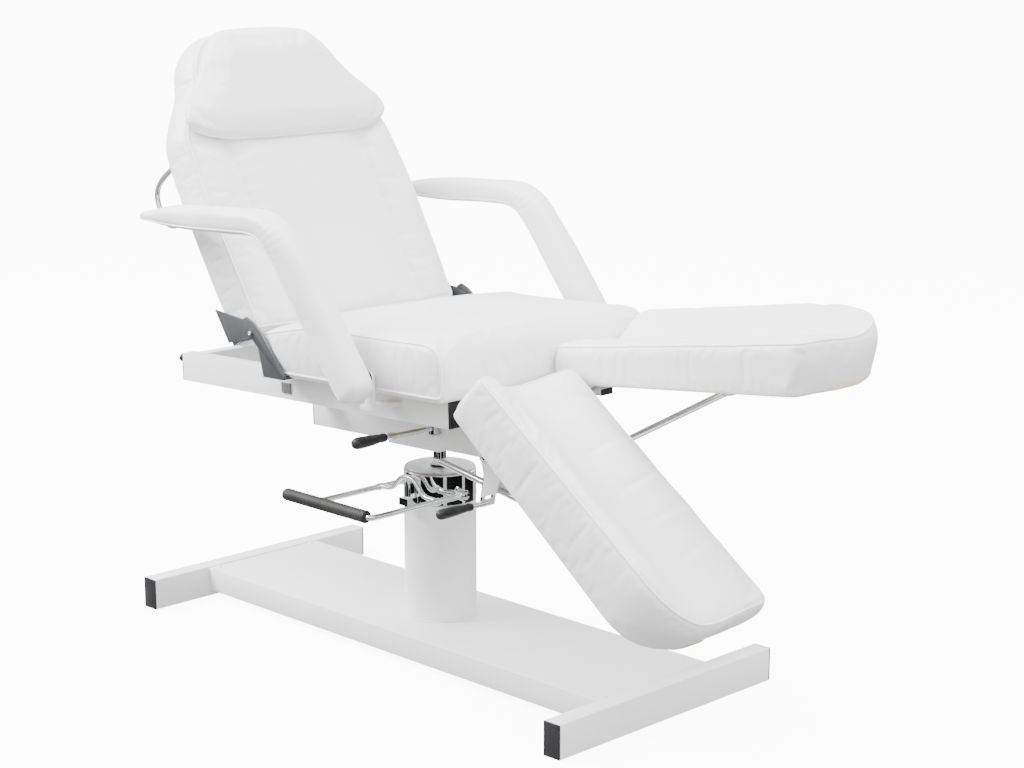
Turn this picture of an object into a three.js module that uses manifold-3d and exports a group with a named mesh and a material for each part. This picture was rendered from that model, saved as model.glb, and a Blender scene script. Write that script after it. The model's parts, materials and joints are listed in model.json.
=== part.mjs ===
// Facial treatment bed with a hydraulic column, split leg rests, a reclining back and two armrests.
// Millimetres, +Z up, origin on the floor under the middle of the bed's overall length and width,
// +X towards the feet. Every length along X below is counted from the column's axis.
// The base and the pump stand upright; everything above the pump sits in a frame tilted by TILT.
import * as THREE from 'three';
import { mergeVertices } from 'three/addons/utils/BufferGeometryUtils.js';
import Module from 'manifold-3d';

const wasm = await Module();
wasm.setup();

// ---------- driving dimensions ----------
const RAD = Math.PI / 180;
const GAP = 0.3;
const TILT = 2 * RAD;
const COLUMN_X = -137;

const BASE_LENGTH = 1162;
const BAR_LENGTH = 553;
const BAR_HEIGHT = 61.8;
const BAR_WIDTH = 37;
const BAR_WALL = 3;
const CAP_THICK = 3;
const CAP_PLUG = 14;
const DECK_WIDTH = 283.5;
const DECK_TOP = 59.5;
const DECK_SHEET = 4;
const SKIRT_BOTTOM = 13;

const COLUMN_RADIUS = 68.5;
const COLUMN_WALL = 3;
const COLLAR_BOTTOM = 285;
const COLLAR_TOP = 345;
const PUMP_TOP = 349.4;
const RESERVOIR_RADIUS = 42;
const ROD_RADIUS = 12.5;
const ROD_BOTTOM = 150;
const ROD_TOP = 388.4;
const BORE_BOTTOM = 110;

const PEDAL_Z = 307;
const PEDAL_PIVOT_Y = -14;
const PEDAL_BAR_Y = -241;
const PEDAL_ARM_X = 79;
const PEDAL_OVERHANG_X = -156;
const PEDAL_BEND = 10;
const PEDAL_ROD = 5.5;
const SLEEVE_RADIUS = 12;
const ARCH_Y = -82;
const ARCH_TOP_Z = 340;
const PLUNGER_RADIUS = 6;

const RAIL_OUTER_Y = 208;
const RAIL_WIDTH = 30;
const RAIL_BOTTOM = 484;
const RAIL_TOP = 538;
const RAIL_REAR_X = -504;
const RAIL_FRONT_X = 267;
const TUBE_WALL = 2.5;
const BEAM = { x0: -286, x1: 250, halfWidth: 60, z0: 398, z1: 458 };
const CROSS_X = [-242, 210];
const CROSS_WIDTH = 40;
const CROSS_HALF_LENGTH = 190;
const CROSS_END_DEPTH = 5;
const CROSS_WALL = 3;
const PLUG = { x0: -189, x1: -163, z0: 496, z1: 516, thick: 3, ribProud: 4.5, ribWidth: 2.4, ribs: 5 };

const SEAT_BOARD = { x0: -90, x1: 280, halfWidth: 236, z0: 538.3, z1: 548.7, round: 20 };
const SEAT = { x0: -188, x1: 306, halfWidth: 262, z0: 538.8, z1: 641 };
const HINGE_FOOT = { x0: -160, x1: -102, inner: 182, top: 543 };

const BACK_PIVOT = { x: -190.6, z: 616.6 };
const BACK_ANGLE = 61 * RAD;
const BACK = { u0: 15, u1: 640, w0: -74, w1: -2, halfWidth: 264 };
const BACK_BOARD = { u0: 62, u1: 600, halfWidth: 165, thick: 11 };
const PILLOW = { u0: 385, u1: 623, w0: -1.6, w1: 40 };
const HANDLE = { centre: 326, half: 51, depth: 86, y: 248, radius: 5 };
const BACK_STRUT_RADIUS = 121.8;
const BACK_STRUT_PIN = { u: 40, w: -115 };
const BACK_LOCK_ANGLE = 290 * RAD;
const BACK_STRUT_LENGTH = 220;

const LEG_PIVOT = { x: 304, z: 520 };
const NEAR_LEG_ANGLE = -40 * RAD;
const FAR_LEG_ANGLE = 4.1 * RAD;
const LEG = { u0: 12, u1: 583, inner: 4, outer: 262, v0: 16, top: 148, board: 11.7, boardInset: 26 };
const LEG_BOARD_TOP = LEG.v0 + LEG.board;
const LEG_CENTRE_Y = 130;
const LEG_STRUT_PIN = { u: 312, v: 1.5 };
const LEG_STRUT_LENGTH = 395;
const LEG_STRUT_RADIUS = 6.5;
const LEG_LOCK = { x: 275, z: 375 };
const LOCK_PIN = { x: 293.4, z: 428.3 };
const RELEASE_ROD = { x: 274, z: 341 };
const RELEASE_GRIP = { y0: 168, y1: 250, radius: 9.5 };
const LOCK_HALF_GAP = 18;
const LOCK_SHEET = 3;

const ARM_PIVOT = { x: 135, z: 571 };
const ARM_Y0 = 288;
const ARM_Y1 = 348;
const ARM_CORE_RADIUS = 8;
const ARM_POST_HALF = 11;
const ARM_FOOT = { rear: 24, front: 11, z0: 512, z1: 520 };
const ARM_CORE_PLAY = 1.4;
const ARM_CORE_END = 4;

const BACK_LEVER_PIVOT = { x: -503, z: 500 };
const BACK_LEVER_ROD = { x: -514.5, z: 526, y0: 30 };
const BACK_LEVER_GRIP = { y0: -138, y1: -205, radius: 8 };

const HINGE_Y = 270.2;
const HINGE_SHEET = 5;
const ROUND_STEPS = 20;

// ---------- finishes ----------
const finish = (color, roughness, metalness) => () =>
  new THREE.MeshStandardMaterial({ color, roughness, metalness });
const whitePaint = finish(0xf1f2f3, 0.35, 0.1);
const whiteLeather = finish(0xf4f4f3, 0.5, 0);
const chrome = finish(0xd4d6d9, 0.12, 1);
const greySteel = finish(0x9b9ea2, 0.35, 0.8);
const blackPlastic = finish(0x1b1c1e, 0.55, 0);
const greyPlastic = finish(0x7a7c80, 0.5, 0);
const blackRubber = finish(0x151515, 0.8, 0);
const blackSteel = finish(0x26282b, 0.45, 0.4);
const plywood = finish(0xb08a5a, 0.7, 0);
const blackCloth = finish(0x161616, 0.9, 0);

// ---------- solids and booleans ----------
function toSolid(geometry) {
  const bare = new THREE.BufferGeometry();
  const source = geometry.index ? geometry.toNonIndexed() : geometry;
  bare.setAttribute('position', source.getAttribute('position').clone());
  const merged = mergeVertices(bare, 1e-3);
  return new wasm.Manifold(new wasm.Mesh({
    numProp: 3,
    vertProperties: new Float32Array(merged.getAttribute('position').array),
    triVerts: new Uint32Array(merged.index.array),
  }));
}

function toGeometry(solid) {
  const mesh = solid.getMesh();
  const geometry = new THREE.BufferGeometry();
  geometry.setAttribute('position', new THREE.BufferAttribute(mesh.vertProperties, 3));
  geometry.setIndex(new THREE.BufferAttribute(mesh.triVerts, 1));
  geometry.computeVertexNormals();
  return geometry;
}

const combine = (operation) => (first, ...others) => toGeometry(
  others.reduce((solid, other) => solid[operation](toSolid(other)), toSolid(first)));
const join = combine('add');
const cut = combine('subtract');
const common = combine('intersect');

// ---------- basic shapes ----------
function box(x0, x1, y0, y1, z0, z1) {
  const geometry = new THREE.BoxGeometry(Math.abs(x1 - x0), Math.abs(y1 - y0), Math.abs(z1 - z0));
  return geometry.translate((x0 + x1) / 2, (y0 + y1) / 2, (z0 + z1) / 2);
}

function cylinderZ(radius, x, y, z0, z1, steps = ROUND_STEPS) {
  const geometry = new THREE.CylinderGeometry(radius, radius, z1 - z0, steps);
  return geometry.rotateX(Math.PI / 2).translate(x, y, (z0 + z1) / 2);
}

function cylinderY(radius, x, z, y0, y1, steps = ROUND_STEPS) {
  const geometry = new THREE.CylinderGeometry(radius, radius, Math.abs(y1 - y0), steps);
  return geometry.translate(x, (y0 + y1) / 2, z);
}

function cylinderX(radius, y, z, x0, x1, steps = ROUND_STEPS) {
  const geometry = new THREE.CylinderGeometry(radius, radius, Math.abs(x1 - x0), steps);
  return geometry.rotateZ(Math.PI / 2).translate((x0 + x1) / 2, y, z);
}

function rodBetween(start, end, radius, steps = 12) {
  const a = new THREE.Vector3(...start);
  const b = new THREE.Vector3(...end);
  const direction = b.clone().sub(a);
  const geometry = new THREE.CylinderGeometry(radius, radius, direction.length(), steps);
  const turn = new THREE.Quaternion().setFromUnitVectors(new THREE.Vector3(0, 1, 0), direction.normalize());
  return geometry.applyQuaternion(turn).translate(...a.add(b).multiplyScalar(0.5).toArray());
}

function outline(points) {
  return new THREE.Shape(points.map(([a, b]) => new THREE.Vector2(a, b)));
}

// A prism of a side outline [x, z], running from y0 to y1.
function prismXZ(points, y0, y1) {
  const geometry = new THREE.ExtrudeGeometry(outline(points), { depth: Math.abs(y1 - y0), bevelEnabled: false });
  return geometry.rotateX(Math.PI / 2).translate(0, Math.max(y0, y1), 0);
}

// A prism of a plan outline [x, y], running from z0 to z1.
function prismXY(points, z0, z1) {
  const geometry = new THREE.ExtrudeGeometry(outline(points), { depth: z1 - z0, bevelEnabled: false });
  return geometry.translate(0, 0, z0);
}

// A prism of a cross-section [y, z], running from x0 to x1.
function prismYZ(points, x0, x1) {
  const geometry = new THREE.ExtrudeGeometry(outline(points), { depth: x1 - x0, bevelEnabled: false });
  const axes = new THREE.Matrix4().makeBasis(
    new THREE.Vector3(0, 1, 0), new THREE.Vector3(0, 0, 1), new THREE.Vector3(1, 0, 0));
  return geometry.applyMatrix4(axes).translate(x0, 0, 0);
}

// A rectangle [a0..a1] x [b0..b1] with rounded corners, as outline points.
function roundedRectangle(a0, a1, b0, b1, radius, steps = 5) {
  const corners = [[a1, b1, 0], [a0, b1, 90], [a0, b0, 180], [a1, b0, 270]];
  const points = [];
  for (const [a, b, start] of corners) {
    const centreA = a === a1 ? a - radius : a + radius;
    const centreB = b === b1 ? b - radius : b + radius;
    for (let i = 0; i <= steps; i += 1) {
      const angle = (start + (90 * i) / steps) * RAD;
      points.push([centreA + radius * Math.cos(angle), centreB + radius * Math.sin(angle)]);
    }
  }
  return points;
}

function tube(points, radius, stepsAlong, sides = 10) {
  const curve = new THREE.CatmullRomCurve3(points.map((p) => new THREE.Vector3(...p)));
  const ring = new THREE.Shape();
  ring.absarc(0, 0, radius, 0, Math.PI * 2, false);
  return new THREE.ExtrudeGeometry(ring, {
    steps: stepsAlong, extrudePath: curve, curveSegments: sides / 2, bevelEnabled: false,
  });
}

// A ring turned about the vertical axis of the column.
function turnedRing(inner, outer, z0, z1, steps = 40) {
  const profile = [[inner, z0], [outer, z0], [outer, z1], [inner, z1], [inner, z0]];
  const geometry = new THREE.LatheGeometry(profile.map(([r, z]) => new THREE.Vector2(r, z)), steps);
  return geometry.rotateX(Math.PI / 2);
}

function hollowBarX(x0, x1, y0, y1, z0, z1, wall) {
  return cut(box(x0, x1, y0, y1, z0, z1), box(x0 - 1, x1 + 1, y0 + wall, y1 - wall, z0 + wall, z1 - wall));
}

function hollowBarY(x0, x1, y0, y1, z0, z1, wall) {
  return cut(box(x0, x1, y0, y1, z0, z1), box(x0 + wall, x1 - wall, y0 - 1, y1 + 1, z0 + wall, z1 - wall));
}

// ---------- scene graph ----------
const bed = new THREE.Group();
bed.position.x = COLUMN_X;
const upper = new THREE.Group();
upper.rotation.y = -TILT;
bed.add(upper);

function add(parent, name, geometry, material) {
  const mesh = new THREE.Mesh(geometry, material());
  mesh.name = name;
  parent.add(mesh);
}

const SIDES = [['near', -1], ['far', 1]];
const sorted = (a, b) => [Math.min(a, b), Math.max(a, b)];

// ---------- base ----------
function baseDeck() {
  const half = BASE_LENGTH / 2 - BAR_WIDTH - GAP;
  const sheet = box(-half, half, -DECK_WIDTH / 2, DECK_WIDTH / 2, SKIRT_BOTTOM, DECK_TOP);
  const inside = DECK_WIDTH / 2 - DECK_SHEET;
  return cut(sheet, box(-half - 1, half + 1, -inside, inside, SKIRT_BOTTOM - 1, DECK_TOP - DECK_SHEET));
}

function baseCrossbar(side) {
  const outer = (side * BASE_LENGTH) / 2;
  const [x0, x1] = sorted(outer, outer - side * BAR_WIDTH);
  const half = BAR_LENGTH / 2 - CAP_THICK - GAP;
  return hollowBarY(x0, x1, -half, half, 0, BAR_HEIGHT, BAR_WALL);
}

function baseCap(endX, endY) {
  const outer = (endX * BASE_LENGTH) / 2;
  const [x0, x1] = sorted(outer, outer - endX * BAR_WIDTH);
  const [y0, y1] = sorted((endY * BAR_LENGTH) / 2, endY * (BAR_LENGTH / 2 - CAP_THICK));
  const [p0, p1] = sorted((endY * BAR_LENGTH) / 2 - endY, endY * (BAR_LENGTH / 2 - CAP_THICK - CAP_PLUG));
  const inset = BAR_WALL + GAP;
  const plate = box(x0, x1, y0, y1, 0, BAR_HEIGHT);
  return join(plate, box(x0 + inset, x1 - inset, p0, p1, inset, BAR_HEIGHT - inset));
}

function buildBase() {
  add(bed, 'base_deck', baseDeck(), whitePaint);
  for (const [end, side] of [['head', -1], ['foot', 1]]) {
    add(bed, `base_crossbar_${end}`, baseCrossbar(side), whitePaint);
    for (const [name, ySide] of SIDES) {
      add(bed, `base_cap_${end}_${name}`, baseCap(side, ySide), blackPlastic);
    }
  }
}

// ---------- pump ----------
function pumpCollar() {
  const ring = turnedRing(COLUMN_RADIUS - 5, COLUMN_RADIUS, COLLAR_BOTTOM + GAP, COLLAR_TOP);
  const studs = SIDES.map(([, side]) => {
    const [x0, x1] = sorted(side * (COLUMN_RADIUS - 3), side * (PEDAL_ARM_X + 9));
    return cylinderX(5, PEDAL_PIVOT_Y, PEDAL_Z, x0, x1, 14);
  });
  const guide = box(-12, 12, ARCH_Y - 12, -COLUMN_RADIUS + 3, COLLAR_BOTTOM + 2, COLLAR_BOTTOM + 16);
  const bore = cylinderZ(PLUNGER_RADIUS + GAP, 0, ARCH_Y, COLLAR_BOTTOM, COLLAR_BOTTOM + 20, 14);
  return cut(join(ring, ...studs, guide), bore);
}

function pumpReservoir() {
  const profile = [[0, DECK_TOP + 4], [RESERVOIR_RADIUS, DECK_TOP + 4], [RESERVOIR_RADIUS, COLLAR_TOP],
    [ROD_RADIUS + GAP, COLLAR_TOP], [ROD_RADIUS + GAP, BORE_BOTTOM], [0, BORE_BOTTOM]];
  return new THREE.LatheGeometry(profile.map(([r, z]) => new THREE.Vector2(r, z)), 28).rotateX(Math.PI / 2);
}

function pedalFrame() {
  const x = PEDAL_ARM_X;
  const corner = PEDAL_BAR_Y + PEDAL_BEND;
  const eyes = [-1, 1].map((side) => {
    const [x0, x1] = sorted(side * (x - 5.5), side * (x + 5.5));
    return cylinderX(10, PEDAL_PIVOT_Y, PEDAL_Z, x0, x1, 16);
  });
  const rearArm = rodBetween([-x, PEDAL_PIVOT_Y - 7, PEDAL_Z], [-x, PEDAL_BAR_Y + 3, PEDAL_Z], PEDAL_ROD);
  const frontArm = rodBetween([x, PEDAL_PIVOT_Y - 7, PEDAL_Z], [x, corner, PEDAL_Z], PEDAL_ROD);
  const bend = [0, 22.5, 45, 67.5, 90].map((degrees) => {
    const angle = degrees * RAD;
    return [x - PEDAL_BEND + PEDAL_BEND * Math.cos(angle), corner - PEDAL_BEND * Math.sin(angle), PEDAL_Z];
  });
  bend.unshift([x, corner + 4, PEDAL_Z]);
  bend.push([x - PEDAL_BEND - 6, PEDAL_BAR_Y, PEDAL_Z]);
  const crossBar = rodBetween([x - PEDAL_BEND - 3, PEDAL_BAR_Y, PEDAL_Z],
    [PEDAL_OVERHANG_X + 3, PEDAL_BAR_Y, PEDAL_Z], PEDAL_ROD);
  const arch = tube([[-x + 3, ARCH_Y, PEDAL_Z + 2], [-48, ARCH_Y, PEDAL_Z + 4], [-30, ARCH_Y, PEDAL_Z + 14],
    [-16, ARCH_Y, ARCH_TOP_Z - 3], [0, ARCH_Y, ARCH_TOP_Z], [16, ARCH_Y, ARCH_TOP_Z - 3],
    [30, ARCH_Y, PEDAL_Z + 14], [48, ARCH_Y, PEDAL_Z + 4], [x - 3, ARCH_Y, PEDAL_Z + 2]], 4.5, 20, 8);
  const solid = join(eyes[0], eyes[1], rearArm, frontArm, tube(bend, PEDAL_ROD, 8, 12), crossBar, arch);
  return cut(solid, cylinderX(5 + GAP + 0.2, PEDAL_PIVOT_Y, PEDAL_Z, -x - 12, x + 12, 16));
}

function pedalSleeve() {
  const start = PEDAL_OVERHANG_X;
  const end = PEDAL_ARM_X - PEDAL_BEND - 2;
  const solid = join(
    cylinderX(SLEEVE_RADIUS, PEDAL_BAR_Y, PEDAL_Z, start, end, 18),
    new THREE.SphereGeometry(SLEEVE_RADIUS, 18, 8).rotateZ(Math.PI / 2).translate(start, PEDAL_BAR_Y, PEDAL_Z));
  const bore = cylinderX(PEDAL_ROD + GAP, PEDAL_BAR_Y, PEDAL_Z, start + 2.5, end + 2, 14);
  const notch = rodBetween([-PEDAL_ARM_X, PEDAL_BAR_Y, PEDAL_Z],
    [-PEDAL_ARM_X, PEDAL_BAR_Y + 20, PEDAL_Z], PEDAL_ROD + 0.5);
  return cut(solid, bore, notch);
}

function buildPump() {
  add(bed, 'column_shroud', turnedRing(COLUMN_RADIUS - COLUMN_WALL, COLUMN_RADIUS, DECK_TOP + GAP, COLLAR_BOTTOM),
    whitePaint);
  add(bed, 'pump_collar', pumpCollar(), chrome);
  add(bed, 'pump_cap', turnedRing(ROD_RADIUS + GAP, COLUMN_RADIUS - 2, COLLAR_TOP + GAP, PUMP_TOP), greySteel);
  add(bed, 'pump_reservoir', pumpReservoir(), greySteel);
  add(bed, 'piston_rod', cylinderZ(ROD_RADIUS, 0, 0, ROD_BOTTOM, ROD_TOP, 24), chrome);
  add(bed, 'pump_plunger', cylinderZ(PLUNGER_RADIUS, 0, ARCH_Y, COLLAR_BOTTOM - 10, ARCH_TOP_Z - 6.5, 14), chrome);
  add(bed, 'pedal_frame', pedalFrame(), chrome);
  add(bed, 'pedal_sleeve', pedalSleeve(), blackRubber);
}

// ---------- carrying frame ----------
// The beam carries the pump plate below, the two cheeks of the back lock above,
// and the two lugs and pin of the swivel lock on its near side.
const backLock = {
  x: BACK_PIVOT.x + BACK_STRUT_RADIUS * Math.cos(BACK_LOCK_ANGLE),
  z: BACK_PIVOT.z + BACK_STRUT_RADIUS * Math.sin(BACK_LOCK_ANGLE),
};
const SWIVEL_LOCK = { x: 76, y: -72, z: 440 };
const SWIVEL_GRIP = { y0: -189, y1: -266, rise: 2, radius: 11 };

function mountBeam() {
  const { x0, x1, halfWidth, z0, z1 } = BEAM;
  const beam = hollowBarX(x0 + CAP_THICK + GAP, x1, -halfWidth, halfWidth, z0, z1, TUBE_WALL);
  const plate = box(-70, 70, -55, 55, z0 - 8, z0 + 1);
  const cheeks = [-1, 1].map((side) => {
    const [y0, y1] = sorted(side * 12, side * 15);
    const { x, z } = backLock;
    return prismXZ([[x - 26, z1 - 1], [x + 26, z1 - 1], [x + 20, z + 20], [x - 20, z + 20]], y0, y1);
  });
  const { x, y, z } = SWIVEL_LOCK;
  const lugs = [box(x - 10, x + 10, y - 10, -halfWidth + 1, z - 17, z - 11.5),
    box(x - 10, x + 10, y - 10, -halfWidth + 1, z + 11.5, z + 17)];
  return join(beam, plate, ...cheeks, ...lugs, cylinderZ(4, x, y, z - 14, z + 14, 12));
}

function beamCap() {
  const { x0, halfWidth, z0, z1 } = BEAM;
  const inset = TUBE_WALL + GAP;
  const plate = box(x0, x0 + CAP_THICK, -halfWidth, halfWidth, z0, z1);
  const plug = box(x0 + 1, x0 + CAP_THICK + CAP_PLUG, -halfWidth + inset, halfWidth - inset, z0 + inset, z1 - inset);
  return join(plate, plug);
}

// A pressed channel, open below, deep over the beam and shallow at the rails.
function crossMember(x) {
  const half = CROSS_WIDTH / 2;
  const top = RAIL_BOTTOM - GAP;
  const low = BEAM.z1 + GAP;
  const end = CROSS_HALF_LENGTH;
  const side = [[-end, top], [-end, top - CROSS_END_DEPTH], [-BEAM.halfWidth, low], [BEAM.halfWidth, low],
    [end, top - CROSS_END_DEPTH], [end, top]];
  const inside = box(x - half + CROSS_WALL, x + half - CROSS_WALL, -end - 1, end + 1, low - 1, top - CROSS_WALL);
  return cut(prismYZ(side, x - half, x + half), inside);
}

// Each side rail carries the bored bracket of its armrest.
function rail(side) {
  const [y0, y1] = sorted(side * RAIL_OUTER_Y, side * (RAIL_OUTER_Y - RAIL_WIDTH));
  const tubePart = hollowBarX(RAIL_REAR_X + CAP_THICK + GAP, RAIL_FRONT_X - CAP_THICK - GAP, y0, y1,
    RAIL_BOTTOM, RAIL_TOP, TUBE_WALL);
  const { x, z } = ARM_PIVOT;
  const [f0, f1] = sorted(side * (RAIL_OUTER_Y - 1), side * 276);
  const foot = box(x - ARM_FOOT.rear, x + ARM_FOOT.front, f0, f1, ARM_FOOT.z0, ARM_FOOT.z1);
  const [p0, p1] = sorted(side * 270, side * 276);
  const post = join(box(x - ARM_POST_HALF, x + ARM_POST_HALF, p0, p1, ARM_FOOT.z0, z),
    cylinderY(ARM_POST_HALF, x, z, p0, p1, 18));
  const bore = cylinderY(ARM_CORE_RADIUS + GAP, x, z, p0 - 2, p1 + 2, 18);
  return cut(join(tubePart, foot, post), bore);
}

function railCap(end, side) {
  const outer = end > 0 ? RAIL_FRONT_X : RAIL_REAR_X;
  const [x0, x1] = sorted(outer, outer - end * CAP_THICK);
  const [q0, q1] = sorted(outer - end, outer - end * (CAP_THICK + CAP_PLUG));
  const [y0, y1] = sorted(side * RAIL_OUTER_Y, side * (RAIL_OUTER_Y - RAIL_WIDTH));
  const inset = TUBE_WALL + GAP;
  return join(box(x0, x1, y0, y1, RAIL_BOTTOM, RAIL_TOP),
    box(q0, q1, y0 + inset, y1 - inset, RAIL_BOTTOM + inset, RAIL_TOP - inset));
}

function ribbedPlug(side) {
  const [y0, y1] = sorted(side * (RAIL_OUTER_Y + GAP), side * (RAIL_OUTER_Y + PLUG.thick));
  const [r0, r1] = sorted(side * (RAIL_OUTER_Y + PLUG.thick - 1), side * (RAIL_OUTER_Y + PLUG.ribProud));
  const pitch = (PLUG.x1 - PLUG.x0) / PLUG.ribs;
  const ribs = [];
  for (let i = 0; i < PLUG.ribs; i += 1) {
    const x = PLUG.x0 + (i + 0.5) * pitch;
    ribs.push(box(x - PLUG.ribWidth / 2, x + PLUG.ribWidth / 2, r0, r1, PLUG.z0 + 1, PLUG.z1 - 1));
  }
  return join(box(PLUG.x0, PLUG.x1, y0, y1, PLUG.z0, PLUG.z1), ...ribs);
}

function rearBar() {
  const half = RAIL_OUTER_Y - RAIL_WIDTH - GAP;
  const bar = hollowBarY(-490, -460, -half, half, RAIL_BOTTOM, RAIL_TOP, TUBE_WALL);
  const { x, z } = BACK_LEVER_PIVOT;
  const lug = box(x - 7, -489, -62, -54, z - 7, z + 7);
  return join(bar, lug, cylinderY(5, x, z, -60, -40, 12));
}

// The front bar carries both leg hinges and the two cheeks of each leg's rod lock.
function frontBar() {
  const half = RAIL_OUTER_Y - RAIL_WIDTH - GAP;
  const parts = [];
  for (const [, side] of SIDES) {
    const centre = side * LEG_CENTRE_Y;
    const { x, z } = LEG_PIVOT;
    for (const offset of [-32, 32]) {
      const lug = [[254, 492], [254, 532], [x - 4, z + 13], [x + 8, z + 9], [x + 12, z], [x, z - 12]];
      parts.push(prismXZ(lug, centre + offset - 3.5, centre + offset + 3.5));
    }
    parts.push(cylinderY(6, x, z, centre - 34, centre + 34, 14));
    for (const sign of [-1, 1]) {
      const inner = centre + sign * LOCK_HALF_GAP;
      const cheek = [[232, 485], [258, 485], [318, 436], [329, 396], [318, 367], [279, 355], [289, 392], [283, 422],
        [262, 446]];
      parts.push(prismXZ(cheek, inner, inner + sign * LOCK_SHEET));
    }
    parts.push(cylinderY(5, LOCK_PIN.x, LOCK_PIN.z, centre - 25, centre + 25, 14));
  }
  return join(hollowBarY(225, 255, -half, half, RAIL_BOTTOM, RAIL_TOP, TUBE_WALL), ...parts);
}

function buildFrame() {
  add(upper, 'mount_beam', mountBeam(), whitePaint);
  add(upper, 'mount_beam_cap', beamCap(), blackPlastic);
  add(upper, 'cross_member_rear', crossMember(CROSS_X[0]), whitePaint);
  add(upper, 'cross_member_front', crossMember(CROSS_X[1]), whitePaint);
  for (const [name, side] of SIDES) {
    add(upper, `rail_${name}`, rail(side), whitePaint);
    add(upper, `rail_cap_front_${name}`, railCap(1, side), blackPlastic);
    add(upper, `rail_cap_rear_${name}`, railCap(-1, side), blackPlastic);
    add(upper, `rail_plug_${name}`, ribbedPlug(side), greyPlastic);
  }
  add(upper, 'frame_rear_bar', rearBar(), whitePaint);
  add(upper, 'frame_front_bar', frontBar(), whitePaint);
}

// ---------- seat ----------
function seatBoardPlan(margin) {
  const { x0, x1, halfWidth, round } = SEAT_BOARD;
  return roundedRectangle(x0 - margin, x1 + margin, -halfWidth - margin, halfWidth + margin, round, 4);
}

// The cover wraps the board, which sits in a pocket below; two shallow notches clear the hinge feet.
function seatCushion() {
  const { x0, x1, halfWidth, z0, z1 } = SEAT;
  const side = [[x0 + 8, z0], [x1, z0], [x1, z1 - 40], [x1 - 6, z1 - 19], [x1 - 20, z1 - 6], [x1 - 46, z1],
    [x0 + 180, z1], [x0 + 80, z1 - 9], [x0 + 16, z1 - 21], [x0, z1 - 36], [x0, z1 - 70]];
  const plan = roundedRectangle(x0, x1, -halfWidth, halfWidth, 16, 4);
  const notches = SIDES.map(([, end]) => {
    const [n0, n1] = sorted(end * (HINGE_FOOT.inner - 1), end * (halfWidth + 2));
    return box(HINGE_FOOT.x0 - 1, HINGE_FOOT.x1 + 1, n0, n1, z0 - 1, HINGE_FOOT.top + GAP);
  });
  return cut(common(prismXZ(side, -halfWidth, halfWidth), prismXY(plan, z0, z1)),
    prismXY(seatBoardPlan(GAP), z0 - 1, SEAT_BOARD.z1 + GAP), ...notches);
}

function seatHingePlate(side) {
  const { x, z } = BACK_PIVOT;
  const [y0, y1] = sorted(side * HINGE_Y, side * (HINGE_Y + HINGE_SHEET));
  const plate = prismXZ([[-216, 640], [-200, 615], [-172, 590], [-160, RAIL_TOP + GAP], [-100, RAIL_TOP + GAP],
    [-100, 547], [-162, 620], [-186, 638], [-204, 646]], y0, y1);
  const [f0, f1] = sorted(side * HINGE_FOOT.inner, side * (HINGE_Y + 2));
  const foot = box(HINGE_FOOT.x0, HINGE_FOOT.x1, f0, f1, RAIL_TOP + GAP, HINGE_FOOT.top);
  const [s0, s1] = sorted(side * 264.9, side * (HINGE_Y + 2));
  const [h0, h1] = sorted(side * (HINGE_Y + 3), side * (HINGE_Y + 9));
  return join(plate, foot, cylinderY(5, x, z, s0, s1, 14), cylinderY(6, x, z, h0, h1, 12));
}

function buildSeat() {
  add(upper, 'seat_board', prismXY(seatBoardPlan(0), SEAT_BOARD.z0, SEAT_BOARD.z1), plywood);
  add(upper, 'seat_cushion', seatCushion(), whiteLeather);
  for (const [name, side] of SIDES) {
    add(upper, `seat_hinge_plate_${name}`, seatHingePlate(side), blackSteel);
  }
}

// ---------- backrest, in its own frame: x up the back, z out of its front face ----------
const back = new THREE.Group();
back.position.set(BACK_PIVOT.x, 0, BACK_PIVOT.z);
back.rotation.set(0, BACK_ANGLE, Math.PI);
upper.add(back);

// Half of the back's outline: straight sides, then a taper to a narrow round top.
function backOutline(inset, u0, u1) {
  const taper = [[415, BACK.halfWidth - 4], [450, 241], [517, 193], [581, 162], [612, 136], [632, 100], [640, 60]];
  const half = [[u0, BACK.halfWidth - inset]];
  for (const [u, y] of taper) {
    if (u < u1) {
      half.push([u, y - inset]);
    }
  }
  const last = half[half.length - 1];
  half.push([u1, last[1] - 8]);
  return [...half, ...half.slice().reverse().map(([u, y]) => [u, -y])];
}

function backCushion() {
  const { u0, u1, w0, w1 } = BACK;
  return common(
    prismXZ([[u0, w0 + 8], [u0 + 8, w0], [u1 - 30, w0 + 6], [u1, w0 + 26], [u1, w1 - 20], [u1 - 30, w1 - 6],
      [430, w1], [u0 + 20, w1], [u0, w1 - 16]], -BACK.halfWidth, BACK.halfWidth),
    prismXY(backOutline(0, u0, u1), w0, w1));
}

function pillow() {
  const { u0, u1, w0, w1 } = PILLOW;
  const plan = [[u0, 90], [u0 + 8, 200], [u0 + 17, 232], [u0 + 30, 246], [u0 + 44, 246], [u0 + 64, 238], [517, 184],
    [575, 146], [600, 125], [612, 112], [618, 96], [u1, 70]];
  const full = [...plan, ...plan.slice().reverse().map(([u, y]) => [u, -y])];
  return common(
    prismXZ([[u0, w0], [u1, w0], [u1, w1 - 16], [u1 - 20, w1], [u0 + 60, w1], [u0 + 16, w1 - 14], [u0, w0 + 10]],
      -250, 250),
    prismXY(full, w0, w1));
}

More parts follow.
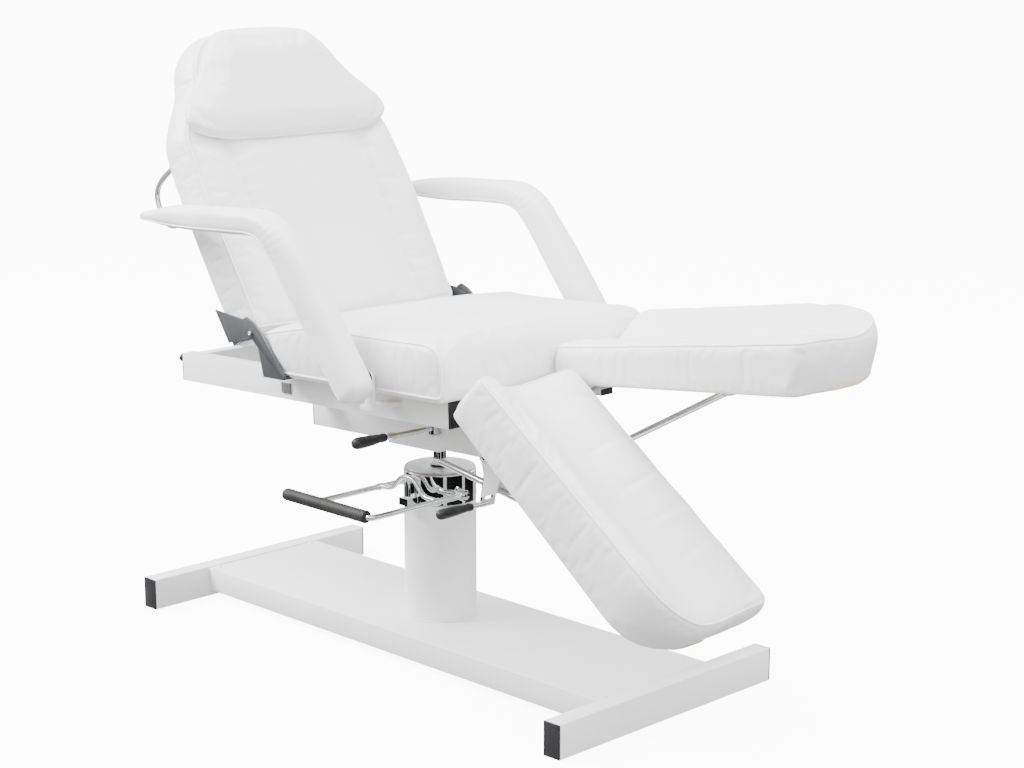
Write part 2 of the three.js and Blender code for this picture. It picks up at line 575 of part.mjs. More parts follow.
// Side plates with their pivot holes, the bar that joins them, and the lug and pin of the strut.
function backFrame() {
  const parts = [];
  for (const [, side] of SIDES) {
    const [y0, y1] = sorted(side * (HINGE_Y - 5), side * (HINGE_Y - 0.4));
    const plate = [[84, -84], [14, -80], [-6, -22], [-11, 0], [-3, 11], [10, 10], [30, -10]];
    parts.push(prismXZ(plate, y0, y1));
  }
  parts.push(box(3, 13, -(HINGE_Y - 1), HINGE_Y - 1, -70, -22));
  for (const side of [-1, 1]) {
    const [y0, y1] = sorted(side * 9.5, side * 13.5);
    parts.push(prismXZ([[3, -60], [3, -92], [24, -118], [38, -126], [50, -122], [50, -108], [28, -97],
      [13, -80], [13, -60]], y0, y1));
  }
  parts.push(cylinderY(5, BACK_STRUT_PIN.u, BACK_STRUT_PIN.w, -12, 12, 14));
  return cut(join(...parts), cylinderY(5 + GAP, 0, 0, -300, 300, 16));
}

function backHandle(side) {
  const { centre, half, depth, radius } = HANDLE;
  const y = side * HANDLE.y;
  const path = [];
  for (let i = 0; i <= 12; i += 1) {
    const angle = (Math.PI * i) / 12;
    const flatten = Math.sign(Math.cos(angle)) * Math.abs(Math.cos(angle)) ** 0.6;
    path.push([centre + half * flatten, y, BACK.w0 - 2 - depth * Math.sin(angle) ** 0.7]);
  }
  path.unshift([centre + half, y, BACK.w0 - GAP]);
  path.push([centre - half, y, BACK.w0 - GAP]);
  return tube(path, radius, 18, 8);
}

const backPoint = (u, w) => [
  BACK_PIVOT.x - u * Math.cos(BACK_ANGLE) + w * Math.sin(BACK_ANGLE),
  BACK_PIVOT.z + u * Math.sin(BACK_ANGLE) + w * Math.cos(BACK_ANGLE),
];

// A rod with a flat eye at its pin; it runs towards the lock and past it.
function strut(pin, lock, centreY, length, radius, eyeRadius, eyeBore, eyeHalf) {
  const run = Math.hypot(lock.x - pin[0], lock.z - pin[1]);
  const direction = [(lock.x - pin[0]) / run, (lock.z - pin[1]) / run];
  const at = (distance) => [pin[0] + direction[0] * distance, centreY, pin[1] + direction[1] * distance];
  const eye = cylinderY(eyeRadius, pin[0], pin[1], centreY - eyeHalf, centreY + eyeHalf, 16);
  const hole = cylinderY(eyeBore, pin[0], pin[1], centreY - 30, centreY + 30, 14);
  return cut(join(eye, rodBetween(at(5), at(length), radius, 14)), hole);
}

function buildBack() {
  const board = BACK_BOARD;
  add(back, 'back_frame', backFrame(), blackSteel);
  add(back, 'back_board',
    prismXY(roundedRectangle(board.u0, board.u1, -board.halfWidth, board.halfWidth, 60, 5),
      BACK.w0 - GAP - board.thick, BACK.w0 - GAP), blackCloth);
  add(back, 'back_cushion', backCushion(), whiteLeather);
  add(back, 'head_pillow', pillow(), whiteLeather);
  for (const [name, side] of SIDES) {
    add(back, `back_handle_${name}`, backHandle(-side), chrome);
  }
  add(upper, 'back_strut', strut(backPoint(BACK_STRUT_PIN.u, BACK_STRUT_PIN.w), backLock, 0,
    BACK_STRUT_LENGTH, 7, 10, 5 + GAP, 8.5), chrome);
}

// ---------- armrests ----------
const ARM_LINE = [[135, 571], [100, 617], [-18, 790], [-48, 822], [-88, 833], [-250, 833]];
const ARM_OUTLINE = [[107, 549], [-62, 807], [-74, 812], [-380, 806], [-424, 811], [-439, 819], [-438, 828],
  [-422, 838], [-380, 848], [-320, 852], [-100, 854], [-56, 843], [-22, 821], [162, 588], [162, 564], [148, 545],
  [128, 540]];
const ARM_PIVOT_XZ = [ARM_PIVOT.x, ARM_PIVOT.z];
const armPath = (side) => ARM_LINE.map(([x, z]) => [x, side * (ARM_Y0 + ARM_Y1) / 2, z]);

function armPad(side) {
  const [y0, y1] = sorted(side * ARM_Y0, side * ARM_Y1);
  const body = prismXZ(ARM_OUTLINE, y0, y1);
  const channel = tube(armPath(side), ARM_CORE_RADIUS + ARM_CORE_PLAY, 16, 8);
  const [a0, a1] = sorted(side * (ARM_Y0 - 5), side * 318);
  return cut(body, channel, cylinderY(ARM_CORE_RADIUS + 0.5, ...ARM_PIVOT_XZ, a0, a1, 16),
    cylinderY(ARM_CORE_RADIUS + 2.5, ...ARM_PIVOT_XZ, side * 308, side * 328, 16));
}

function armCore(side) {
  const line = armPath(side);
  line[line.length - 1][0] += ARM_CORE_END;
  const [a0, a1] = sorted(side * 266, side * 318);
  const [c0, c1] = sorted(side * 276.4, side * (ARM_Y0 - 0.4));
  const [k0, k1] = sorted(side * 308.4, side * 327.6);
  return join(tube(line, ARM_CORE_RADIUS, 16, 8), cylinderY(ARM_CORE_RADIUS, ...ARM_PIVOT_XZ, a0, a1, 16),
    cylinderY(ARM_POST_HALF, ...ARM_PIVOT_XZ, c0, c1, 18), cylinderY(ARM_CORE_RADIUS + 2, ...ARM_PIVOT_XZ, k0, k1, 16));
}

function buildArms() {
  for (const [name, side] of SIDES) {
    add(upper, `armrest_pad_${name}`, armPad(side), whiteLeather);
    add(upper, `armrest_core_${name}`, armCore(side), chrome);
  }
}

// ---------- legs, each in its own frame: x along the leg, z out of its upper face ----------
function legPlan(side, inset) {
  const { u0, u1, inner, outer } = LEG;
  const round = 118 - inset;
  const y = (value) => side * value;
  const points = [[u0 + inset, y(inner + inset)], [u1 - 34 - inset, y(inner + inset)],
    [u1 - 15 - inset, y(inner + 18 + inset)], [u1 - inset, y(inner + 100)]];
  for (let i = 0; i <= 6; i += 1) {
    const angle = (15 * i) * RAD;
    points.push([u1 - inset - round + round * Math.cos(angle), y(outer - inset - round + round * Math.sin(angle))]);
  }
  points.push([u0 + inset, y(outer - inset)]);
  return side > 0 ? points : points.reverse();
}

// The cushion is thin on its inner side, thick on its outer side, and hollowed along the middle.
// Its cover wraps the board, which sits in a pocket below; its far end is undercut.
function legCushion(side) {
  const { u0, u1, inner, outer, v0, top } = LEG;
  const sideView = [[u0, v0], [u1 - 20, v0], [u1 - 3, 84], [u1, 118], [u1 - 60, 136], [u1 - 130, top], [160, 138],
    [u0 + 6, 124]];
  const section = [[inner, v0], [outer, v0], [outer, top - 6], [outer - 12, top], [outer - 40, top - 4],
    [178, 100], [140, 90], [100, 92], [60, 106], [30, 108], [inner, 100]];
  const points = section.map(([y, v]) => [side * y, v]);
  const block = common(
    prismXZ(sideView, side * inner, side * outer),
    common(prismXY(legPlan(side, 0), v0, top), prismYZ(side > 0 ? points : points.reverse(), u0, u1)));
  return cut(block, prismXY(legPlan(side, LEG.boardInset), v0 - 1, LEG_BOARD_TOP + GAP));
}

// A strap under the board, with the knuckle of the leg hinge and the clevis and pin of the strut.
function legBracket(side) {
  const centre = side * LEG_CENTRE_Y;
  const { u, v } = LEG_STRUT_PIN;
  const strapTop = LEG.v0 - GAP;
  const strap = box(2, 345, centre - 20, centre + 20, strapTop - 3, strapTop);
  const knuckle = join(cylinderY(12.4, 0, 0, centre - 20, centre + 20, 18),
    box(0, 12, centre - 20, centre + 20, 4, strapTop - 1));
  const cheeks = [-1, 1].map((sign) => {
    const [y0, y1] = sorted(centre + sign * 10, centre + sign * 14);
    return prismXZ([[u - 14, strapTop - 2], [u + 14, strapTop - 2], [u + 9, v - 8], [u - 9, v - 8]], y0, y1);
  });
  const pin = cylinderY(5, u, v, centre - 12, centre + 12, 14);
  return cut(join(strap, knuckle, ...cheeks, pin), cylinderY(6 + GAP, 0, 0, centre - 40, centre + 40, 16));
}

function buildLeg(name, side, angle) {
  const leg = new THREE.Group();
  leg.position.set(LEG_PIVOT.x, 0, LEG_PIVOT.z);
  leg.rotation.y = -angle;
  upper.add(leg);
  add(leg, `leg_board_${name}`, prismXY(legPlan(side, LEG.boardInset + GAP), LEG.v0, LEG_BOARD_TOP), plywood);
  add(leg, `leg_cushion_${name}`, legCushion(side), whiteLeather);
  add(leg, `leg_bracket_${name}`, legBracket(side), greySteel);
  const { u, v } = LEG_STRUT_PIN;
  const pin = [LEG_PIVOT.x + u * Math.cos(angle) - v * Math.sin(angle),
    LEG_PIVOT.z + u * Math.sin(angle) + v * Math.cos(angle)];
  add(upper, `leg_strut_${name}`, strut(pin, LEG_LOCK, side * LEG_CENTRE_Y, LEG_STRUT_LENGTH,
    LEG_STRUT_RADIUS, 9, 5 + GAP, 8), chrome);
}

// ---------- release levers ----------
function legRelease(side) {
  const centre = side * LEG_CENTRE_Y;
  const half = LOCK_HALF_GAP - 1;
  const { x, z } = LOCK_PIN;
  const end = RELEASE_ROD;
  const barrel = cylinderY(9, x, z, centre - half, centre + half, 16);
  const plate = prismXZ([[x - 3, z], [x + 2, z], [end.x + 2, end.z - 6], [end.x - 3, end.z - 6]],
    centre - half, centre + half);
  const slot = box(end.x - 8, x + 8, centre - 9, centre + 9, 348, 402);
  const rod = cylinderY(5, end.x, end.z, centre, side * (RELEASE_GRIP.y0 - GAP), 12);
  return cut(join(barrel, plate, rod), slot, cylinderY(5 + GAP, x, z, centre - 40, centre + 40, 14));
}

function grip(start, end, radius) {
  const a = new THREE.Vector3(...start);
  const b = new THREE.Vector3(...end);
  const length = a.distanceTo(b);
  const profile = [[0, 0], [radius * 0.7, 0], [radius * 0.8, length * 0.25], [radius, length * 0.7],
    [radius * 0.9, length * 0.92], [radius * 0.5, length], [0, length]];
  const turn = new THREE.Quaternion().setFromUnitVectors(new THREE.Vector3(0, 1, 0), b.sub(a).normalize());
  return new THREE.LatheGeometry(profile.map(([r, h]) => new THREE.Vector2(r, h)), 14)
    .applyQuaternion(turn).translate(...start);
}

function backRelease() {
  const { x, z } = BACK_LEVER_PIVOT;
  const end = BACK_LEVER_ROD;
  const crank = prismXZ([[x - 9, z - 8], [x + 8, z - 8], [x + 8, z + 5], [end.x + 6, end.z + 4], [end.x - 5, end.z + 5],
    [end.x - 5, end.z - 5]], -50, -44);
  const rod = cylinderY(5, end.x, end.z, BACK_LEVER_GRIP.y0 + GAP, end.y0, 12);
  return cut(join(crank, rod), cylinderY(5 + GAP, x, z, -80, -20, 14));
}

function swivelLever() {
  const { x, y, z } = SWIVEL_LOCK;
  const hub = cylinderZ(9, x, y, z - 11, z + 11, 14);
  const rod = rodBetween([x, y - 6, z], [x, SWIVEL_GRIP.y0 + GAP, z + SWIVEL_GRIP.rise], 5);
  return cut(join(hub, rod), cylinderZ(4 + GAP, x, y, z - 20, z + 20, 12));
}

function buildLevers() {
  const rod = BACK_LEVER_ROD;
  const held = BACK_LEVER_GRIP;
  add(upper, 'back_release_lever', backRelease(), chrome);
  add(upper, 'back_release_grip', grip([rod.x, held.y0, rod.z], [rod.x, held.y1, rod.z], held.radius), blackPlastic);
  add(upper, 'swivel_lock_lever', swivelLever(), chrome);
  const { x, z } = SWIVEL_LOCK;
  add(upper, 'swivel_lock_grip', grip([x, SWIVEL_GRIP.y0 - GAP, z + SWIVEL_GRIP.rise],
    [x, SWIVEL_GRIP.y1, z + SWIVEL_GRIP.rise], SWIVEL_GRIP.radius), blackPlastic);
  for (const [name, side] of SIDES) {
    add(upper, `leg_release_${name}`, legRelease(side), chrome);
    const start = [RELEASE_ROD.x, side * RELEASE_GRIP.y0, RELEASE_ROD.z];
    const finishAt = [RELEASE_ROD.x, side * RELEASE_GRIP.y1, RELEASE_ROD.z];
    add(upper, `leg_release_grip_${name}`, grip(start, finishAt, RELEASE_GRIP.radius), blackPlastic);
  }
}

buildBase();
buildPump();
buildFrame();
buildSeat();
buildBack();
buildArms();
buildLeg('near', -1, NEAR_LEG_ANGLE);
buildLeg('far', 1, FAR_LEG_ANGLE);
buildLevers();

export default bed;
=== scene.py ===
"""Facial treatment bed: the looks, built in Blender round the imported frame.
Local work is in millimetres; every finished mesh is in metres in the frame's own axes."""

import json
import math

import bmesh
import bpy
import numpy as np
from mathutils import Matrix, Vector
from mathutils.bvhtree import BVHTree


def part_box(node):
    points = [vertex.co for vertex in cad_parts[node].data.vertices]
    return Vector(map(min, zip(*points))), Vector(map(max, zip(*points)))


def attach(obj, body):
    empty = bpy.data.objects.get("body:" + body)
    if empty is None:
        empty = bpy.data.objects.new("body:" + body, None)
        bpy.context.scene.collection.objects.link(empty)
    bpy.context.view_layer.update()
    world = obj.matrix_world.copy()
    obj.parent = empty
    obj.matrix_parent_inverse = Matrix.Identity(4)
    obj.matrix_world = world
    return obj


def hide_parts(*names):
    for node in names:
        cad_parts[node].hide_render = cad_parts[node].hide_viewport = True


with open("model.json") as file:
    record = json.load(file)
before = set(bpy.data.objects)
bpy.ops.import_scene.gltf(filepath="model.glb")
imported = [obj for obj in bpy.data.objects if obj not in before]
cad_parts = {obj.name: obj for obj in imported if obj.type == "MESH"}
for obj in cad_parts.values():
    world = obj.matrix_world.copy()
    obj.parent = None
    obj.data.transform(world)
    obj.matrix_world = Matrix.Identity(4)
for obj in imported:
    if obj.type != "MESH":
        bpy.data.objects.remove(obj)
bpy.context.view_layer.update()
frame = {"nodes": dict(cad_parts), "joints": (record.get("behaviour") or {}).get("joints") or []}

MM = 0.001
RAD = math.pi / 180
SIDES = (("near", -1), ("far", 1))

# ---------- places taken from the frame ----------
TILT = 2 * RAD
BACK_ANGLE = 61 * RAD
LEG_ANGLE = {"near": -40 * RAD, "far": 4.1 * RAD}
JOINTS = {joint["name"]: joint for joint in frame["joints"]}
shroud_low, shroud_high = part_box("column_shroud")
COLUMN_X = (shroud_low.x + shroud_high.x) / 2
COLUMN_RADIUS = (shroud_high.y - shroud_low.y) / 2 / MM

SCALE = Matrix.Scale(MM, 4)
BASE = Matrix.Translation((COLUMN_X, 0, 0))
UPPER = BASE @ Matrix.Rotation(-TILT, 4, "Y")


def upper_place(joint_name):
    """Where a joint is in the upper frame, in millimetres, without its sideways part."""
    at = UPPER.inverted() @ Vector(JOINTS[joint_name]["pos_m"])
    return Vector((at.x / MM, 0, at.z / MM))


BACK_PIVOT = upper_place("back_recline")
LEG_PIVOT = upper_place("leg_near_tilt")
ARM_PIVOT = upper_place("armrest_near_swing")
BACK_AXES = Matrix(((-math.cos(BACK_ANGLE), 0, math.sin(BACK_ANGLE), 0),
                    (0, -1, 0, 0),
                    (math.sin(BACK_ANGLE), 0, math.cos(BACK_ANGLE), 0),
                    (0, 0, 0, 1)))
BACK = UPPER @ Matrix.Translation(BACK_PIVOT * MM) @ BACK_AXES
LEG = {name: UPPER @ Matrix.Translation(LEG_PIVOT * MM) @ Matrix.Rotation(-angle, 4, "Y")
       for name, angle in LEG_ANGLE.items()}


# ---------- small mathematics ----------
def ease(low, high, value):
    """0 at low, 1 at high, smooth between and level beyond."""
    t = np.clip((np.asarray(value, float) - low) / (high - low), 0, 1)
    return t * t * (3 - 2 * t)


def bell(value, width):
    return np.exp(-(np.asarray(value, float) / width) ** 2)


def along(table, value):
    """A smooth curve through a table of (place, size) pairs."""
    places = np.array([row[0] for row in table], float)
    sizes = np.array([row[1] for row in table], float)
    value = np.clip(value, places[0], places[-1])
    index = np.clip(np.searchsorted(places, value, side="right") - 1, 0, len(places) - 2)
    gap = places[index + 1] - places[index]
    t = (value - places[index]) / gap
    slopes = np.gradient(sizes, places)
    h00 = 2 * t ** 3 - 3 * t ** 2 + 1
    h10 = t ** 3 - 2 * t ** 2 + t
    h01 = -2 * t ** 3 + 3 * t ** 2
    h11 = t ** 3 - t ** 2
    return h00 * sizes[index] + h10 * gap * slopes[index] + h01 * sizes[index + 1] + h11 * gap * slopes[index + 1]


def resample(points, spacing, closed=True):
    """Points spaced evenly along a polyline."""
    points = [np.asarray(p, float) for p in points]
    if closed:
        points = points + [points[0]]
    points = np.array(points)
    steps = np.linalg.norm(np.diff(points, axis=0), axis=1)
    run = np.concatenate([[0], np.cumsum(steps)])
    count = max(int(round(run[-1] / spacing)), 3)
    at = np.linspace(0, run[-1], count + 1)
    if closed:
        at = at[:-1]
    return np.stack([np.interp(at, run, points[:, k]) for k in range(points.shape[1])], axis=1)


def rounded(corners, spacing=6):
    """A closed outline from (a, b, radius) corners, each rounded with an arc."""
    points = []
    count = len(corners)
    for i, (a, b, radius) in enumerate(corners):
        here = Vector((a, b))
        before = (Vector(corners[i - 1][:2]) - here).normalized()
        after = (Vector(corners[(i + 1) % count][:2]) - here).normalized()
        half = before.angle(after) / 2
        reach = radius / math.tan(half)
        start, end = here + before * reach, here + after * reach
        for k in range(9):
            t = k / 8
            points.append((1 - t) ** 2 * start + 2 * t * (1 - t) * here + t * t * end)
    return resample(points, spacing)


def inward(outline):
    """Unit normals that point into a closed outline."""
    tangent = np.roll(outline, -1, axis=0) - np.roll(outline, 1, axis=0)
    normal = np.stack([-tangent[:, 1], tangent[:, 0]], axis=1)
    normal /= np.linalg.norm(normal, axis=1)[:, None]
    area = np.sum(outline[:, 0] * np.roll(outline[:, 1], -1) - np.roll(outline[:, 0], -1) * outline[:, 1])
    return normal if area > 0 else -normal


def smooth_noise(points, size, seed):
    """Soft deterministic noise between -1 and 1, made of a few crossing waves."""
    rng = np.random.default_rng(seed)
    total = np.zeros(len(points))
    for _ in range(7):
        direction = rng.normal(size=3)
        direction /= np.linalg.norm(direction)
        wave = size * rng.uniform(0.6, 1.6)
        total += np.sin(points @ direction * 2 * math.pi / wave + rng.uniform(0, 2 * math.pi))
    return total / 3.5


# ---------- raw shapes: each gives (vertices, faces) in millimetres ----------
def loft(rings):
    """Faces between rings of equal length, with both ends closed."""
    count = len(rings[0])
    vertices = [tuple(p) for ring in rings for p in ring]
    faces = []
    for r in range(len(rings) - 1):
        for i in range(count):
            j = (i + 1) % count
            faces.append((r * count + i, r * count + j, (r + 1) * count + j, (r + 1) * count + i))
    faces.append(tuple(reversed(range(count))))
    faces.append(tuple((len(rings) - 1) * count + i for i in range(count)))
    return vertices, faces


def spline(points, spacing, closed=False):
    """A smooth line through given points."""
    points = [Vector(p) for p in points]
    count = len(points)
    dense = []
    for i in range(count if closed else count - 1):
        p1, p2 = points[i], points[(i + 1) % count]
        p0 = points[i - 1] if closed or i > 0 else p1 * 2 - p2
        p3 = points[(i + 2) % count] if closed or i + 2 < count else p2 * 2 - p1
        for k in range(12):
            t = k / 12
            dense.append(0.5 * (2 * p1 + (p2 - p0) * t + (2 * p0 - 5 * p1 + 4 * p2 - p3) * t * t
                                + (3 * p1 - p0 - 3 * p2 + p3) * t ** 3))
    if not closed:
        dense.append(points[-1])
    return resample(dense, spacing, closed)


def sweep(points, radius, sides=20, closed=False):
    """A round bar along a line of points. radius is a number or one for each point."""
    line = [Vector(p) for p in points]
    count = len(line)
    radii = [radius] * count if np.isscalar(radius) else list(radius)
    tangents = []
    for i in range(count):
        ahead = line[(i + 1) % count] if closed or i + 1 < count else line[i]
        behind = line[i - 1] if closed or i > 0 else line[i]
        tangents.append((ahead - behind).normalized())
    side = tangents[0].orthogonal().normalized()
    rings = []
    for i in range(count):
        side = (side - tangents[i] * side.dot(tangents[i])).normalized()
        other = tangents[i].cross(side)
        rings.append([line[i] + side * (radii[i] * math.cos(a)) + other * (radii[i] * math.sin(a))
                      for a in np.linspace(0, 2 * math.pi, sides, endpoint=False)])
    vertices, faces = loft(rings)
    if closed:
        faces = faces[:-2]
        last = (count - 1) * sides
        shift = min(range(sides), key=lambda k: (rings[-1][0] - rings[0][k]).length)
        for i in range(sides):
            j = (i + 1) % sides
            faces.append((last + i, last + j, (j + shift) % sides, (i + shift) % sides))
    return vertices, faces


def rod(start, end, radius, sides=28):
    return sweep([start, end], radius, sides)


def turned(start, end, profile, sides=48):
    """A turned shape from start towards end. profile holds (distance, radius) pairs."""
    start, end = Vector(start), Vector(end)
    axis = (end - start).normalized()
    return sweep_rings([(start + axis * d, r) for d, r in profile], axis, sides)


def sweep_rings(stations, axis, sides):
    side = axis.orthogonal().normalized()
    other = axis.cross(side)
    rings = [[centre + side * (r * math.cos(a)) + other * (r * math.sin(a))
              for a in np.linspace(0, 2 * math.pi, sides, endpoint=False)] for centre, r in stations]
    return loft(rings)


def ring_shape(inner, outer, z0, z1, edge=1.0, sides=96):
    """An upright ring with softened edges, round the column."""
    profile = [(inner, z0), (outer - edge, z0), (outer, z0 + edge), (outer, z1 - edge), (outer - edge, z1), (inner, z1)]
    count = len(profile)
    vertices, faces = [], []
    for i in range(sides):
        a = 2 * math.pi * i / sides
        vertices += [(r * math.cos(a), r * math.sin(a), z) for r, z in profile]
    for i in range(sides):
        j = (i + 1) % sides
        for k in range(count):
            m = (k + 1) % count
            faces.append((i * count + k, j * count + k, j * count + m, i * count + m))
    return vertices, faces


def slab(outline, y0, y1):
    """A flat plate: a side outline of (x, z) points between two y planes."""
    rings = [[(x, y, z) for x, z in outline] for y in (y0, y1)]
    return loft(rings)


def block(xs, ys, zs):
    return slab([(xs[0], zs[0]), (xs[1], zs[0]), (xs[1], zs[1]), (xs[0], zs[1])], *ys)


def spun(start, end, profile, edge=0.7, sides=48):
    """A turned shape whose profile corners are eased. profile holds (distance, radius) pairs."""
    eased = []
    for i, (d, r) in enumerate(profile):
        if 0 < i < len(profile) - 1 and edge:
            before, after = profile[i - 1], profile[i + 1]
            for other in (before, after):
                reach = math.hypot(other[0] - d, other[1] - r)
                share = min(edge / reach, 0.4) if reach else 0
                eased.append((d + (other[0] - d) * share, r + (other[1] - r) * share))
        else:
            eased.append((d, r))
    return turned(start, end, eased, sides)


# ---------- objects ----------
def mesh_from(name, shapes):
    """One mesh in local metres from raw shapes in millimetres."""
    vertices, faces = [], []
    for shape_vertices, shape_faces in shapes:
        shift = len(vertices)
        vertices += [tuple(c * MM for c in v) for v in shape_vertices]
        faces += [tuple(i + shift for i in face) for face in shape_faces]
    mesh = bpy.data.meshes.new(name)
    mesh.from_pydata(vertices, [], faces)
    fix = bmesh.new()
    fix.from_mesh(mesh)
    bmesh.ops.recalc_face_normals(fix, faces=fix.faces)
    fix.to_mesh(mesh)
    fix.free()
    return mesh


def linked(name, mesh):
    piece = bpy.data.objects.new(name, mesh)
    bpy.context.scene.collection.objects.link(piece)
    return piece


def apply_modifiers(piece):
    """The piece keeps the mesh that its modifiers make."""
    bpy.context.view_layer.update()
    seen = piece.evaluated_get(bpy.context.evaluated_depsgraph_get())
    mesh = bpy.data.meshes.new_from_object(seen)
    piece.modifiers.clear()
    piece.data = mesh


def soften_edges(piece, width, angle=35):
    bevel = piece.modifiers.new("soft_edges", "BEVEL")
    bevel.width = width * MM
    bevel.segments = 2
    bevel.limit_method = "ANGLE"
    bevel.angle_limit = angle * RAD
    apply_modifiers(piece)
    shade(piece, 32)


def shade(piece, angle=None):
    piece.data.polygons.foreach_set("use_smooth", [True] * len(piece.data.polygons))
    if angle:
        piece.data.set_sharp_from_angle(angle=angle * RAD)


def settle(piece, material, body, replaced=()):
    """Gives a finished piece its material, its body and the nodes that it stands for."""
    piece.data.materials.clear()
    piece.data.materials.append(material)
    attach(piece, body)
    if replaced:
        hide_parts(*replaced)
    return piece


def hard_piece(name, shapes, place, look, body, replaced=(), edge=0.6):
    """A rigid piece from raw shapes, with softened edges."""
    material, slot = look
    piece = linked(name, mesh_from(name, shapes))
    piece.data.transform(place)
    if edge:
        soften_edges(piece, edge)
    else:
        shade(piece, 32)
    return settle(piece, material, body, replaced)


def refined(node, look, body, edge):
    """A copy of a CAD node's own mesh with softened edges, which stands for that node."""
    material, slot = look
    piece = linked(f"{node}_detail", frame["nodes"][node].data.copy())
    fix = bmesh.new()
    fix.from_mesh(piece.data)
    bmesh.ops.remove_doubles(fix, verts=fix.verts, dist=2e-5)
    bmesh.ops.dissolve_limit(fix, angle_limit=0.5 * RAD, verts=fix.verts, edges=fix.edges)
    fix.to_mesh(piece.data)
    fix.free()
    soften_edges(piece, edge)
    return settle(piece, material, body, (node,))


# ---------- materials ----------
class Nodes:
    """A small helper that adds and links the nodes of one material."""

    def __init__(self, name):
        self.material = bpy.data.materials.new(name)
        self.material.use_nodes = True
        self.tree = self.material.node_tree
        self.shader = self.tree.nodes["Principled BSDF"]
        self.place = self.tree.nodes.new("ShaderNodeTexCoord").outputs["Object"]

    def add(self, kind, **settings):
        node = self.tree.nodes.new(kind)
        for key, value in settings.items():
            if hasattr(node, key):
                setattr(node, key, value)
            else:
                node.inputs[key.replace("_", " ").title()].default_value = value
        return node

    def link(self, source, target):
        self.tree.links.new(source, target)

    def noise(self, scale, detail=2.0, stretch=None):
        node = self.add("ShaderNodeTexNoise", Scale=scale, Detail=detail)
        self.link(self.stretched(stretch) if stretch else self.place, node.inputs["Vector"])
        return node.outputs["Fac"]

    def stretched(self, factors):
        node = self.add("ShaderNodeMapping")
        node.inputs["Scale"].default_value = factors
        self.link(self.place, node.inputs["Vector"])
        return node.outputs["Vector"]

    def cells(self, scale, feature="F1"):
        node = self.add("ShaderNodeTexVoronoi", feature=feature, Scale=scale)
        self.link(self.place, node.inputs["Vector"])
        return node.outputs["Distance"]

    def ramp(self, source, stops):
        node = self.add("ShaderNodeValToRGB")
        node.color_ramp.elements[0].position, node.color_ramp.elements[0].color = stops[0][0], (*stops[0][1], 1)
        node.color_ramp.elements[1].position, node.color_ramp.elements[1].color = stops[-1][0], (*stops[-1][1], 1)
        for position, colour in stops[1:-1]:
            node.color_ramp.elements.new(position).color = (*colour, 1)
        self.link(source, node.inputs["Fac"])
        return node.outputs["Color"]

    def range(self, source, low, high):
        node = self.add("ShaderNodeMapRange")
        node.inputs["To Min"].default_value = low
        node.inputs["To Max"].default_value = high
        self.link(source, node.inputs["Value"])
        return node.outputs["Result"]

    def bumps(self, *layers):
        """Each layer is (height source, distance in millimetres, strength)."""
        normal = None
        for source, distance, strength in layers:
            node = self.add("ShaderNodeBump")
            node.inputs["Strength"].default_value = strength
            node.inputs["Distance"].default_value = distance * MM
            self.link(source, node.inputs["Height"])
            if normal:
                self.link(normal, node.inputs["Normal"])
            normal = node.outputs["Normal"]
        self.link(normal, self.shader.inputs["Normal"])

    def set(self, **values):
        for key, value in values.items():
            self.shader.inputs[key.replace("_", " ")].default_value = value


def leatherette():
    n = Nodes("white_leatherette")
    tone = n.ramp(n.noise(7, 3), [(0.3, (0.78, 0.78, 0.776)), (0.7, (0.81, 0.81, 0.808))])
    n.link(tone, n.shader.inputs["Base Color"])
    n.link(n.range(n.noise(22, 3), 0.34, 0.5), n.shader.inputs["Roughness"])
    n.bumps((n.noise(38, 3), 1.0, 0.16), (n.cells(900, "DISTANCE_TO_EDGE"), 0.12, 0.35), (n.noise(2600, 2), 0.05, 0.25))
    n.set(Coat_Weight=0.12, Coat_Roughness=0.3, Sheen_Weight=0.05)
    return n.material


def piping_cover():
    n = Nodes("white_piping")
    tone = n.ramp(n.noise(60, 2), [(0.35, (0.83, 0.83, 0.828)), (0.65, (0.87, 0.87, 0.868))])
    n.link(tone, n.shader.inputs["Base Color"])
    n.link(n.range(n.noise(90, 2), 0.3, 0.42), n.shader.inputs["Roughness"])
    n.bumps((n.noise(700, 2), 0.1, 0.3),)
    return n.material


def gloss_paint():
    n = Nodes("white_powder_coat")
    tone = n.ramp(n.noise(5, 2), [(0.3, (0.80, 0.805, 0.81)), (0.7, (0.83, 0.835, 0.84))])
    n.link(tone, n.shader.inputs["Base Color"])
    n.link(n.range(n.noise(12, 2), 0.34, 0.4), n.shader.inputs["Roughness"])
    n.bumps((n.noise(300, 2), 0.03, 0.12),)
    n.set(Coat_Weight=0.15, Coat_Roughness=0.2)
    return n.material


def polished_chrome():
    n = Nodes("polished_chrome")
    tone = n.ramp(n.noise(30, 2), [(0.35, (0.66, 0.67, 0.68)), (0.65, (0.76, 0.77, 0.78))])
    n.link(tone, n.shader.inputs["Base Color"])
    n.link(n.range(n.noise(60, 3), 0.04, 0.08), n.shader.inputs["Roughness"])
    n.bumps((n.noise(50, 2), 0.05, 0.04),)
    n.set(Metallic=1.0)
    return n.material


def bare_steel():
    n = Nodes("zinc_steel")
    tone = n.ramp(n.noise(55, 4), [(0.3, (0.42, 0.43, 0.44)), (0.7, (0.58, 0.59, 0.60))])
    n.link(tone, n.shader.inputs["Base Color"])
    n.link(n.range(n.noise(260, 4, (1, 1, 9)), 0.22, 0.42), n.shader.inputs["Roughness"])
    n.bumps((n.noise(500, 3, (1, 1, 12)), 0.06, 0.2),)
    n.set(Metallic=1.0)
    return n.material


